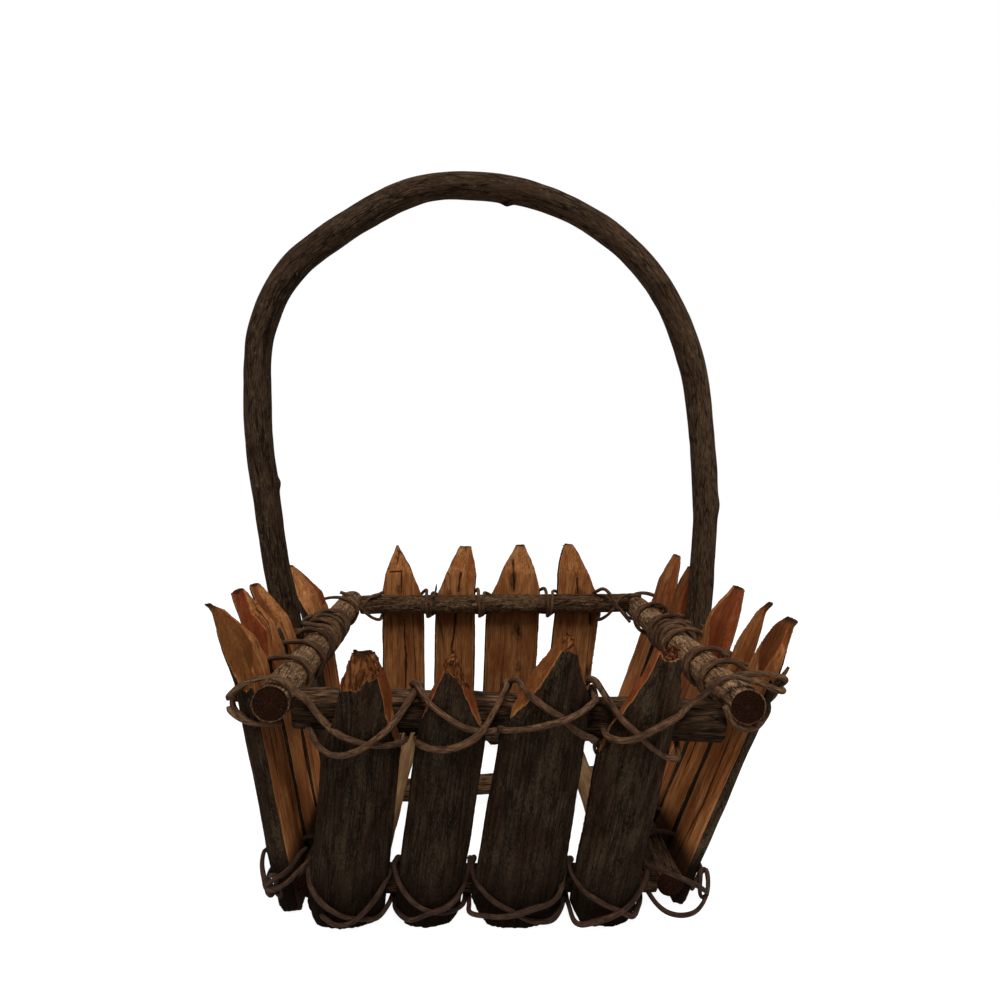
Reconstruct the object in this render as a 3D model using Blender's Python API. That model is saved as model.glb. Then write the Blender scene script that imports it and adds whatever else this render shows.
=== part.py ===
"""A rustic mushroom foraging basket: split-branch pickets lashed with vine to two frames of round branches."""

import math
from types import SimpleNamespace

import bmesh
import bpy
from mathutils import Matrix, Vector

# Axes: +X is the basket's right, -Y its front, +Z up, and it stands on z = 0. Sizes are in metres.

# Gap that touching pieces keep
CLEARANCE = 0.0003

# Pickets: branches split lengthwise, bark outside and split face inside
PICKET_WIDTH = 0.036
PICKET_THICKNESS = 0.013
PICKET_EDGE_THICKNESS = 0.004
PICKET_RISE = 0.040
TAPER_LENGTH = 0.045
TIP_THICKNESS = 0.004
FOOT_CHAMFER_SHARE = 0.20

# Gaps between neighbouring pickets, at the rim and at the base frame
FRONT_RIM_GAP = 0.0068
FRONT_BASE_GAP = 0.0052
SIDE_RIM_GAP = 0.0038
SIDE_BASE_GAP = 0.0028

# Rim frame: four round branches, the side rails running past the front and back rails
RIM_HEIGHT = 0.1085
RIM_CORNER = 0.0302
SIDE_RAIL_MARGIN = 0.0068
SIDE_RAIL_OVERHANG = 0.0025
FRONT_RAIL_DIAMETER = 0.0200
FRONT_RAIL_DROP_LEFT = 0.0060
FRONT_RAIL_DROP_RIGHT = 0.0115
BACK_RAIL_RISE_RIGHT = 0.0045
BACK_RAIL_DIAMETER = 0.0140
SIDE_RAIL_DIAMETER = 0.0172

# Base frame: four thinner branches and one across the middle
BASE_HEIGHT = 0.0135
BASE_CORNER = 0.0092
BASE_SHIFT = 0.0070
BASE_INSET = 0.0095
BASE_RAIL_DIAMETER = 0.0136
BASE_RAIL_SETBACK = 0.0014
CROSS_STICK_DIAMETER = 0.0126

# Floor slats: split sticks laid front to back over the base frame
SLAT_WIDTH = 0.0130
SLAT_THICKNESS = 0.0060
SLAT_END_MARGIN = 0.0045

# Handle: one bent branch whose legs run down inside the side rows
HANDLE_DIAMETER = 0.0160
HANDLE_RISE = 0.2794
LEFT_LEG_PLACE = -0.0070
RIGHT_LEG_PLACE = 0.0190
LEG_END_HEIGHT = 0.0060
LEG_STRAIGHT = 0.0140

# Vines
RIM_VINE_DIAMETER = 0.0030
BASE_VINE_DIAMETER = 0.0022

# Rows of pickets. Each picket: width at the rim, width at the base and thickness as shares of the sizes
# above, tip height as a share of PICKET_RISE, tip place and tip width as shares of the picket's own width
# (place -0.5 is its left or front edge), how far down each shoulder starts, as shares of TAPER_LENGTH, then
# how far each shoulder's cut leans in towards the bark, as shares of the depth that it has cut through.
FRONT_PICKET_SHARES = (
    (1.00, 1.03, 1.00, 0.72, -0.08, 0.24, 1.16, 1.00, 0.12, 0.35),
    (0.90, 0.87, 0.95, 0.72, -0.15, 0.14, 0.90, 0.90, 0.30, 0.35),
    (1.10, 1.20, 1.05, 0.97, 0.06, 0.14, 1.10, 0.76, 0.55, 0.10),
    (0.96, 0.90, 1.00, 0.88, 0.22, 0.16, 1.30, 0.55, 0.28, 0.12),
)
BACK_PICKET_SHARES = (
    (0.90, 0.90, 0.95, 1.14, -0.16, 0.10, 0.75, 0.95, 0.10, 0.10),
    (0.86, 0.86, 0.90, 1.14, 0.24, 0.28, 0.90, 0.50, 0.10, 0.10),
    (1.16, 1.12, 1.00, 1.19, 0.10, 0.16, 1.05, 0.75, 0.10, 0.10),
    (1.00, 0.90, 0.90, 1.20, -0.34, 0.22, 0.40, 0.95, 0.10, 0.10),
)
LEFT_PICKET_SHARES = (
    (0.84, 0.82, 1.00, 1.16, -0.10, 0.24, 0.90, 0.80, 0.30, 0.10),
    (0.72, 0.72, 1.00, 1.15, -0.05, 0.50, 0.80, 0.80, 0.25, 0.10),
    (0.64, 0.64, 0.95, 1.12, -0.10, 0.30, 0.60, 1.00, 0.20, 0.10),
    (1.22, 1.10, 1.05, 1.06, -0.12, 0.22, 0.80, 0.72, 0.20, 0.10),
)
RIGHT_PICKET_SHARES = (
    (0.80, 0.80, 0.82, 1.08, -0.14, 0.20, 0.75, 0.90, 0.25, 0.10),
    (0.64, 0.64, 0.90, 1.10, -0.32, 0.20, 0.50, 1.20, 0.20, 0.10),
    (1.20, 1.12, 1.05, 1.14, -0.08, 0.30, 0.85, 1.15, 0.25, 0.10),
    (0.94, 0.92, 0.95, 1.09, 0.10, 0.22, 1.00, 0.90, 0.20, 0.10),
    (0.98, 0.94, 1.00, 1.18, 0.14, 0.22, 0.95, 0.90, 0.20, 0.10),
)
# Per row: thickness at the top as a share of that at the foot, how far the tips flare outward past a
# straight picket, as a share of PICKET_RISE, and the tips' thickness as a share of TIP_THICKNESS
ROW_TOP_SHARES = {
    "front": (0.90, 0.0, 1.90), "back": (0.90, 0.0, 1.00),
    "left": (0.95, 0.13, 1.00), "right": (0.62, -0.08, 1.00),
}
# Pickets of each side row that stand in front of its handle leg
PICKETS_BEFORE_LEG = 3
# Gaps on each side of a handle leg, front and back, as shares of SIDE_RIM_GAP and SIDE_BASE_GAP
LEFT_LEG_GAP_SHARES = (1.00, 6.60)
RIGHT_LEG_GAP_SHARES = (3.60, 1.00)
# Middle of the front and back rows, as shares of the rim's and base's half widths
FRONT_ROW_PLACE_SHARES = (-0.038, -0.098)
BACK_ROW_PLACE_SHARES = (-0.018, 0.010)
# Gaps of the back row, at the rim and at the base, as shares of the front row's
BACK_RIM_GAP_SHARES = (1.30, 1.30, 1.86)
BACK_BASE_GAP_SHARES = (1.20, 1.20, 1.60)
FRONT_GAP_SHARES = (1, 1, 1)

# Where a vine's strand crosses a picket's or a leg's face: places on each side of its middle, as a share of
# its width, and how far past the face of a leg the strand stands, as a share of the handle's diameter
PICKET_FACE_SHARE = 0.28
LEG_FACE_SHARE = 0.45
LEG_REACH_SHARE = 0.125
# Radius of a strand's turn as a share of the tightest, then the heights at which it leaves the rail, crosses
# both sides of a face and reaches the rail again, as shares of that radius
TURN_SHARE = 1.10
RIM_CROSSING_SHARES = (0.95, 0.45, -0.45, -0.95)
BASE_CROSSING_SHARES = (0.95, 0.20, -0.75, -1.00)
# Directions round the rail, from straight outward through upward, of a strand's turn and of its two ends
TURN_DEGREES = (285, 232, 180, 128, 75)
FIRST_HOOK_DEGREES = (95, 75)
LAST_HOOK_DEGREES = (285, 265)

# Front and back ends of each floor slat, as shares of the base's half width
SLAT_PLACE_SHARES = ((-0.657, -0.596), (-0.265, -0.200), (0.180, 0.220), (0.690, 0.690))

# The bend of the handle: places across the legs' distance at the rim, and heights as shares of HANDLE_RISE
HANDLE_BEND_SHARES = (
    (-0.033, 0.170), (-0.049, 0.268), (-0.070, 0.415), (-0.077, 0.520), (-0.076, 0.600),
    (-0.072, 0.648), (-0.060, 0.691), (-0.038, 0.744), (-0.001, 0.798), (0.050, 0.846),
    (0.120, 0.898), (0.168, 0.929), (0.222, 0.958), (0.304, 0.988), (0.390, 0.999),
    (0.480, 1.000), (0.575, 0.986), (0.662, 0.958), (0.728, 0.927), (0.797, 0.880),
    (0.863, 0.818), (0.923, 0.730), (0.967, 0.623), (0.996, 0.480), (1.013, 0.322), (1.014, 0.179),
)

# Steps and sides of the rounded forms
ARC_STEPS = 8
RAIL_SIDES = 16
HANDLE_BEVEL_RESOLUTION = 3
VINE_BEVEL_RESOLUTION = 1
HANDLE_STEPS_PER_BEND = 2

COLOURS = {
    "bark": ((0.030, 0.022, 0.016, 1.0), 0.95),
    "rail_bark": ((0.085, 0.058, 0.040, 1.0), 0.92),
    "split_wood": ((0.250, 0.130, 0.055, 1.0), 0.80),
    "vine": ((0.070, 0.048, 0.035, 1.0), 0.85),
}


def clear_scene():
    for old in list(bpy.data.objects):
        bpy.data.objects.remove(old, do_unlink=True)


def make_materials():
    made = {}
    for name, (colour, roughness) in COLOURS.items():
        material = bpy.data.materials.new(name)
        material.use_nodes = True
        shader = material.node_tree.nodes["Principled BSDF"]
        shader.inputs["Base Color"].default_value = colour
        shader.inputs["Roughness"].default_value = roughness
        shader.inputs["Metallic"].default_value = 0.0
        made[name] = material
    return made


def add_object(name, data, material):
    made = bpy.data.objects.new(name, data)
    bpy.context.scene.collection.objects.link(made)
    data.materials.append(material)
    made.parent = BASKET
    return made


# Rows

def rail(start, end, diameter):
    """A straight round branch between two points on its centre line, sawn square to X or Y."""
    start, end = Vector(start), Vector(end)
    follows = Vector((1, 0, 0)) if abs(end.x - start.x) > abs(end.y - start.y) else Vector((0, 1, 0))
    return SimpleNamespace(start=start, end=end, radius=diameter / 2, saw=follows)


def rail_centre(branch, along, outward, place):
    """Distance outward and height of a rail's centre line at a place along its row."""
    first = branch.start.dot(along)
    share = (place - first) / (branch.end.dot(along) - first)
    point = branch.start.lerp(branch.end, share)
    return Vector((point.dot(outward), point.z))


def outer_tangent(row, rim_place, base_place):
    """The line that lies against the outside of both rails: a point on it by the base, and its normal."""
    upper = rail_centre(row.rim, row.along, row.outward, rim_place)
    lower = rail_centre(row.base, row.along, row.outward, base_place)
    between = upper - lower
    tilt = math.asin((row.base.radius - row.rim.radius) / between.length)
    heading = math.atan2(between.y, between.x) - math.pi / 2 + tilt
    normal = Vector((math.cos(heading), math.sin(heading)))
    return lower + normal * (row.base.radius + CLEARANCE), normal


def stave_frame(row, rim_place, base_place):
    """Frame of a piece held against both rails: across it, up along it, and outward from its inner face."""
    point, normal = outer_tangent(row, rim_place, base_place)
    rise = Vector((-normal.y, normal.x))
    height = RIM_HEIGHT - BASE_HEIGHT
    foot = row.along * base_place + row.outward * point.x + Vector((0, 0, point.y))
    upward = row.outward * (rise.x / rise.y * height) + row.along * (rim_place - base_place)
    upward.z = height
    outward = row.outward * normal.x + Vector((0, 0, normal.y))
    upward.normalize()
    across = row.along - upward * upward.dot(row.along)
    across.normalize()
    frame = Matrix((across, upward, outward)).transposed().to_4x4()
    return Matrix.Translation(foot) @ frame


def row_places(widths, gaps, middle):
    """Centres of pieces set side by side, with the whole row centred on a middle."""
    length = sum(widths) + sum(gaps)
    places = []
    edge = middle - length / 2
    for width, gap in zip(widths, [*gaps, 0]):
        places.append(edge + width / 2)
        edge += width + gap
    return places


def leg_row_places(widths, leg_place, gap, leg_gap_shares):
    """Centres of the pickets on each side of a handle leg, worked outward from the leg."""
    places = [0] * len(widths)
    edge = leg_place - HANDLE_DIAMETER / 2 - gap * leg_gap_shares[0]
    for index in reversed(range(PICKETS_BEFORE_LEG)):
        places[index] = edge - widths[index] / 2
        edge -= widths[index] + gap
    edge = leg_place + HANDLE_DIAMETER / 2 + gap * leg_gap_shares[1]
    for index in range(PICKETS_BEFORE_LEG, len(widths)):
        places[index] = edge + widths[index] / 2
        edge += widths[index] + gap
    return places


def widths_of(table, column):
    return [PICKET_WIDTH * shares[column] for shares in table]


def fill_row(row, table, rim_places, base_places):
    """The pickets of a row as records that the solids and the vines both read."""
    top_share, flare_share, tip_share = ROW_TOP_SHARES[row.name]
    for index, shares in enumerate(table):
        row.items.append(SimpleNamespace(
            name=f"{row.name}_picket_{index + 1}",
            rim_place=rim_places[index],
            base_place=base_places[index],
            rim_width=PICKET_WIDTH * shares[0],
            base_width=PICKET_WIDTH * shares[1],
            thickness=PICKET_THICKNESS * shares[2],
            top_thickness=PICKET_THICKNESS * shares[2] * top_share,
            rise=PICKET_RISE * shares[3],
            flare=PICKET_RISE * flare_share,
            tip_place_share=shares[4],
            tip_width_share=shares[5],
            shoulder_shares=shares[6:8],
            lean_shares=shares[8:10],
            tip_thickness=TIP_THICKNESS * tip_share,
            face_share=PICKET_FACE_SHARE,
            reach=0,
        ))


def leg_item(place, row):
    """A handle leg, standing in its row like a narrow round picket."""
    return SimpleNamespace(
        name=f"{row.name}_leg", rim_place=place, base_place=place,
        rim_width=HANDLE_DIAMETER, base_width=HANDLE_DIAMETER, thickness=HANDLE_DIAMETER,
        face_share=LEG_FACE_SHARE, reach=HANDLE_DIAMETER * LEG_REACH_SHARE,
    )


def lay_out_rows():
    """The four rails of each frame, sized by the rows of pickets that they carry, and the rows themselves."""
    right = {
        level: leg_row_places(widths_of(RIGHT_PICKET_SHARES, column), RIGHT_LEG_PLACE, gap,
                              RIGHT_LEG_GAP_SHARES)
        for level, column, gap in (("rim", 0, SIDE_RIM_GAP), ("base", 1, SIDE_BASE_GAP))
    }
    left = {
        level: leg_row_places(widths_of(LEFT_PICKET_SHARES, column), LEFT_LEG_PLACE, gap, LEFT_LEG_GAP_SHARES)
        for level, column, gap in (("rim", 0, SIDE_RIM_GAP), ("base", 1, SIDE_BASE_GAP))
    }
    front_widths = widths_of(FRONT_PICKET_SHARES, 0)
    front_base_widths = widths_of(FRONT_PICKET_SHARES, 1)
    gaps = len(FRONT_PICKET_SHARES) - 1
    rim_half_width = (sum(front_widths) + gaps * FRONT_RIM_GAP) / 2 + RIM_CORNER
    base_half_width = (sum(front_base_widths) + gaps * FRONT_BASE_GAP) / 2 + BASE_CORNER
    right_widths = widths_of(RIGHT_PICKET_SHARES, 0)
    rim_front = right["rim"][0] - right_widths[0] / 2 - SIDE_RAIL_MARGIN
    rim_back = right["rim"][-1] + right_widths[-1] / 2 + SIDE_RAIL_MARGIN
    base_front = rim_front + SIDE_RAIL_OVERHANG + BASE_INSET
    base_back = rim_back - SIDE_RAIL_OVERHANG - BASE_INSET

    side_radius = SIDE_RAIL_DIAMETER / 2
    inner = rim_half_width - side_radius - CLEARANCE
    front_y = rim_front + SIDE_RAIL_OVERHANG + FRONT_RAIL_DIAMETER / 2
    back_y = rim_back - SIDE_RAIL_OVERHANG - BACK_RAIL_DIAMETER / 2
    base_radius = BASE_RAIL_DIAMETER / 2
    base_left = -BASE_SHIFT - base_half_width
    base_right = -BASE_SHIFT + base_half_width
    base_inner_left = base_left + base_radius + CLEARANCE
    base_inner_right = base_right - base_radius - CLEARANCE
    base_front_y = base_front + base_radius
    base_back_y = base_back - base_radius

    rails = {
        "rim_front_rail": rail((-inner, front_y, RIM_HEIGHT - FRONT_RAIL_DROP_LEFT),
                               (inner, front_y, RIM_HEIGHT - FRONT_RAIL_DROP_RIGHT), FRONT_RAIL_DIAMETER),
        "rim_back_rail": rail((-inner, back_y, RIM_HEIGHT),
                              (inner, back_y, RIM_HEIGHT + BACK_RAIL_RISE_RIGHT), BACK_RAIL_DIAMETER),
        "rim_left_rail": rail((-rim_half_width, rim_front, RIM_HEIGHT),
                              (-rim_half_width, rim_back, RIM_HEIGHT), SIDE_RAIL_DIAMETER),
        "rim_right_rail": rail((rim_half_width, rim_front, RIM_HEIGHT),
                               (rim_half_width, rim_back, RIM_HEIGHT), SIDE_RAIL_DIAMETER),
        "base_front_rail": rail((base_inner_left, base_front_y, BASE_HEIGHT),
                                (base_inner_right, base_front_y, BASE_HEIGHT), BASE_RAIL_DIAMETER),
        "base_back_rail": rail((base_inner_left, base_back_y, BASE_HEIGHT),
                               (base_inner_right, base_back_y, BASE_HEIGHT), BASE_RAIL_DIAMETER),
        "base_left_rail": rail((base_left, base_front + BASE_RAIL_SETBACK, BASE_HEIGHT),
                               (base_left, base_back - BASE_RAIL_SETBACK, BASE_HEIGHT), BASE_RAIL_DIAMETER),
        "base_right_rail": rail((base_right, base_front + BASE_RAIL_SETBACK, BASE_HEIGHT),
                                (base_right, base_back - BASE_RAIL_SETBACK, BASE_HEIGHT),
                                BASE_RAIL_DIAMETER),
        "floor_cross_stick": rail((base_inner_left, LEFT_LEG_PLACE, BASE_HEIGHT),
                                  (base_inner_right, RIGHT_LEG_PLACE, BASE_HEIGHT), CROSS_STICK_DIAMETER),
    }

    rows = {}
    for name, along, outward in (("front", (1, 0, 0), (0, -1, 0)), ("back", (1, 0, 0), (0, 1, 0)),
                                 ("left", (0, 1, 0), (-1, 0, 0)), ("right", (0, 1, 0), (1, 0, 0))):
        rows[name] = SimpleNamespace(
            name=name, along=Vector(along), outward=Vector(outward), items=[],
            rim=rails[f"rim_{name}_rail"], base=rails[f"base_{name}_rail"],
        )
    for name, table, place_shares, rim_shares, base_shares in (
        ("front", FRONT_PICKET_SHARES, FRONT_ROW_PLACE_SHARES, FRONT_GAP_SHARES, FRONT_GAP_SHARES),
        ("back", BACK_PICKET_SHARES, BACK_ROW_PLACE_SHARES, BACK_RIM_GAP_SHARES, BACK_BASE_GAP_SHARES),
    ):
        rim_places = row_places(widths_of(table, 0), [FRONT_RIM_GAP * share for share in rim_shares],
                                place_shares[0] * rim_half_width)
        base_places = row_places(widths_of(table, 1), [FRONT_BASE_GAP * share for share in base_shares],
                                 place_shares[1] * base_half_width - BASE_SHIFT)
        fill_row(rows[name], table, rim_places, base_places)
    fill_row(rows["left"], LEFT_PICKET_SHARES, left["rim"], left["base"])
    fill_row(rows["right"], RIGHT_PICKET_SHARES, right["rim"], right["base"])
    for name, place in (("left", LEFT_LEG_PLACE), ("right", RIGHT_LEG_PLACE)):
        rows[name].leg = leg_item(place, rows[name])
        rows[name].items.insert(PICKETS_BEFORE_LEG, rows[name].leg)
    return rails, rows


# Pickets

def picket_section(width, thickness):
    """A split log's outline: a flat inner face, low side edges, and a bark arc between them."""
    bulge = thickness - PICKET_EDGE_THICKNESS
    radius = (width * width / 4 + bulge * bulge) / (2 * bulge)
    points = [Vector((width / 2, 0)), Vector((-width / 2, 0))]
    for step in range(ARC_STEPS + 1):
        u = width * (step / ARC_STEPS - 0.5)
        depth = thickness - radius + math.sqrt(radius * radius - u * u)
        points.append(Vector((u, depth)))
    return points


def cut(mesh, point, normal):
    """Saw off what lies beyond a plane and close the cut."""
    bmesh.ops.bisect_plane(mesh, geom=mesh.verts[:] + mesh.edges[:] + mesh.faces[:], dist=CLEARANCE / 100,
                           plane_co=point, plane_no=normal, clear_outer=True)
    rim = [edge for edge in mesh.edges if edge.is_boundary]
    if rim:
        bmesh.ops.contextual_create(mesh, geom=rim)


def slanting_cut(mesh, lower, upper, lean):
    """Cut across the width through two points (u, v), the plane leaning by a share through the depth."""
    lower, upper = Vector((*lower, 0)), Vector((*upper, 0))
    along = upper - lower
    through = Vector((lean, 0, 1))
    normal = along.cross(through)
    if normal.x * lower.x < 0:
        normal.negate()
    cut(mesh, lower, normal)


def picket_mesh(item, frame):
    """One picket in its local frame: a split log sawn to a point at the top and flat on the floor."""
    rim_v = (RIM_HEIGHT - BASE_HEIGHT) / frame.col[1].z
    bend_v = rim_v + SIDE_RAIL_DIAMETER / 2
    top_v = (RIM_HEIGHT + item.rise - BASE_HEIGHT) / frame.col[1].z
    bottom_v = -2 * BASE_HEIGHT
    mesh = bmesh.new()
    rings = []
    for v, flare in ((bottom_v, 0), (bend_v, 0), (top_v, item.flare)):
        width = item.base_width + (item.rim_width - item.base_width) * v / rim_v
        thickness = item.thickness + (item.top_thickness - item.thickness) * max(v, 0) / top_v
        section = picket_section(width, thickness)
        rings.append([mesh.verts.new((point.x, v, point.y + flare)) for point in section])
    for lower, upper in zip(rings, rings[1:]):
        for index in range(len(lower)):
            following = (index + 1) % len(lower)
            mesh.faces.new((lower[index], lower[following], upper[following], upper[index]))
    mesh.faces.new(rings[0])
    mesh.faces.new(list(reversed(rings[-1])))
    bmesh.ops.recalc_face_normals(mesh, faces=mesh.faces[:])

    width = item.rim_width
    tip = item.tip_place_share * width
    half_tip = item.tip_width_share * width / 2
    left_drop, right_drop = (TAPER_LENGTH * share for share in item.shoulder_shares)
    left_lean, right_lean = item.lean_shares
    slanting_cut(mesh, (-width / 2, top_v - left_drop), (tip - half_tip, top_v), left_lean)
    slanting_cut(mesh, (width / 2, top_v - right_drop), (tip + half_tip, top_v), -right_lean)
    bevel_v = top_v - TAPER_LENGTH / 2
    bevel_start = Vector((0, bevel_v, item.flare * (bevel_v - bend_v) / (top_v - bend_v)))
    bevel_end = Vector((0, top_v, item.flare + item.top_thickness - item.tip_thickness))
    slope = bevel_end - bevel_start
    cut(mesh, bevel_start, Vector((0, slope.z, -slope.y)))
    for side in (-1, 1):
        foot_v = -BASE_HEIGHT / frame.col[1].z
        corner = Vector((side * item.base_width / 2, foot_v + item.base_width * FOOT_CHAMFER_SHARE, 0))
        cut(mesh, corner, Vector((side, -1, 0)))
    mesh.transform(frame)
    cut(mesh, Vector((0, 0, 0)), Vector((0, 0, -1)))
    return mesh


def add_picket(item, row):
    frame = stave_frame(row, item.rim_place, item.base_place)
    shape = picket_mesh(item, frame)
    bmesh.ops.recalc_face_normals(shape, faces=shape.faces[:])
    data = bpy.data.meshes.new(item.name)
    shape.to_mesh(data)
    shape.free()
    return add_object(item.name, data, MATERIALS["bark"])


# Rails, cross stick and slats

def add_rail(name, branch):
    """A straight round branch, sawn off where it ends or meets its neighbour."""
    axis = branch.end - branch.start
    shape = bmesh.new()
    bmesh.ops.create_cone(shape, cap_ends=True, segments=RAIL_SIDES, radius1=branch.radius,
                          radius2=branch.radius, depth=axis.length + 2 * branch.radius)
    turn = axis.to_track_quat("Z", "X").to_matrix().to_4x4()
    shape.transform(Matrix.Translation((branch.start + branch.end) / 2) @ turn)
    cut(shape, branch.start, -branch.saw)
    cut(shape, branch.end, branch.saw)
    data = bpy.data.meshes.new(name)
    shape.to_mesh(data)
    shape.free()
    data.shade_smooth()
    data.set_sharp_from_angle(angle=math.radians(40))
    return add_object(name, data, MATERIALS["rail_bark"])


def add_slat(name, shares):
    """A split stick, flat below and rounded above, resting on both base rails and the cross stick."""
    front_rail, back_rail = RAILS["base_front_rail"], RAILS["base_back_rail"]
    half_width = (RAILS["base_right_rail"].start.x - RAILS["base_left_rail"].start.x) / 2
    bed = BASE_HEIGHT + BASE_RAIL_DIAMETER / 2 + CLEARANCE
    reach = BASE_RAIL_DIAMETER / 2 - SLAT_END_MARGIN
    start = Vector((shares[0] * half_width - BASE_SHIFT, front_rail.start.y - reach, bed))
    end = Vector((shares[1] * half_width - BASE_SHIFT, back_rail.start.y + reach, bed))
    along = (end - start).normalized()
    across = Vector((along.y, -along.x, 0))
    shape = bmesh.new()
    loop = []
    for step in range(ARC_STEPS + 1):
        angle = math.pi * step / ARC_STEPS
        side = across * (SLAT_WIDTH / 2 * math.cos(angle))
        loop.append(shape.verts.new(start + side + Vector((0, 0, SLAT_THICKNESS * math.sin(angle)))))
    face = shape.faces.new(loop)
    grown = bmesh.ops.extrude_face_region(shape, geom=[face])
    moved = [part for part in grown["geom"] if isinstance(part, bmesh.types.BMVert)]
    bmesh.ops.translate(shape, verts=moved, vec=end - start)
    bmesh.ops.recalc_face_normals(shape, faces=shape.faces[:])
    data = bpy.data.meshes.new(name)
    shape.to_mesh(data)
    shape.free()
    return add_object(name, data, MATERIALS["split_wood"])


# Tubes: the handle and the vines

def smooth_path(points, steps):
    """Points on a curve through all the given ones, a number of steps to each stretch (centripetal)."""
    ends = [points[0] * 2 - points[1], *points, points[-1] * 2 - points[-2]]
    path = []
    for index in range(len(points) - 1):
        p0, p1, p2, p3 = ends[index:index + 4]
        t0 = 0
        t1 = t0 + (p1 - p0).length ** 0.5
        t2 = t1 + (p2 - p1).length ** 0.5
        t3 = t2 + (p3 - p2).length ** 0.5
        for step in range(steps):
            t = t1 + (t2 - t1) * step / steps
            a1 = p0 * ((t1 - t) / (t1 - t0)) + p1 * ((t - t0) / (t1 - t0))
            a2 = p1 * ((t2 - t) / (t2 - t1)) + p2 * ((t - t1) / (t2 - t1))
            a3 = p2 * ((t3 - t) / (t3 - t2)) + p3 * ((t - t2) / (t3 - t2))
            b1 = a1 * ((t2 - t) / (t2 - t0)) + a2 * ((t - t0) / (t2 - t0))
            b2 = a2 * ((t3 - t) / (t3 - t1)) + a3 * ((t - t1) / (t3 - t1))
            path.append(b1 * ((t2 - t) / (t2 - t1)) + b2 * ((t - t1) / (t2 - t1)))
    path.append(points[-1])
    return path


def add_tube(name, points, diameter, bevel_resolution, material):
    curve = bpy.data.curves.new(name, "CURVE")
    curve.dimensions = "3D"
    curve.bevel_depth = diameter / 2
    curve.bevel_resolution = bevel_resolution
    curve.use_fill_caps = True
    curve.render_resolution_u = 0
    spline = curve.splines.new("POLY")
    spline.points.add(len(points) - 1)
    for spot, point in zip(spline.points, points):
        spot.co = (*point, 1)
    return add_object(name, curve, material)


def leg_point(row, height):
    """A point on a leg's centre line where the leg lies against both rails."""
    frame = stave_frame(row, row.leg.rim_place, row.leg.base_place)
    upward = frame.col[1].xyz
    start = frame.translation + frame.col[2].xyz * (HANDLE_DIAMETER / 2)
    return start + upward * ((height - start.z) / upward.z)


def handle_points():
    left, right = ROWS["left"], ROWS["right"]
    heights = (LEG_END_HEIGHT, BASE_HEIGHT, (BASE_HEIGHT + RIM_HEIGHT) / 2, RIM_HEIGHT)
    left_leg = [leg_point(left, height) for height in (*heights, RIM_HEIGHT + LEG_STRAIGHT)]
    right_leg = [leg_point(right, height) for height in heights]
    left_top, right_top = leg_point(left, RIM_HEIGHT), leg_point(right, RIM_HEIGHT)
    bend = []
    for across_share, rise_share in HANDLE_BEND_SHARES:
        point = left_top.lerp(right_top, across_share)
        bend.append(Vector((point.x, point.y, RIM_HEIGHT + HANDLE_RISE * rise_share)))
    return [*left_leg, *bend, *reversed(right_leg)]


# Vines: two strands of opposite hand on each rail, one turn to each picket

def edge_place(item, row, side, height):
    """Place along the row of one edge of a picket or leg at a height, which its lean and taper move."""
    frame = stave_frame(row, item.rim_place, item.base_place)
    rim_v = (RIM_HEIGHT - BASE_HEIGHT) / frame.col[1].z
    low = frame @ Vector((side * item.base_width / 2, 0, 0))
    high = frame @ Vector((side * item.rim_width / 2, rim_v, 0))
    return low.lerp(high, (height - low.z) / (high.z - low.z)).dot(row.along)


def wrap_place(row, index, gap, height):
    """Place along the row where a strand passes a gap, or beside the first or last piece, at a height."""
    if index == 0:
        return edge_place(row.items[0], row, -1, height) - gap / 2
    before = edge_place(row.items[index - 1], row, 1, height)
    if index == len(row.items):
        return before + gap / 2
    room = edge_place(row.items[index], row, -1, height) - before
    return before + min(room, gap * 2) / 2


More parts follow.
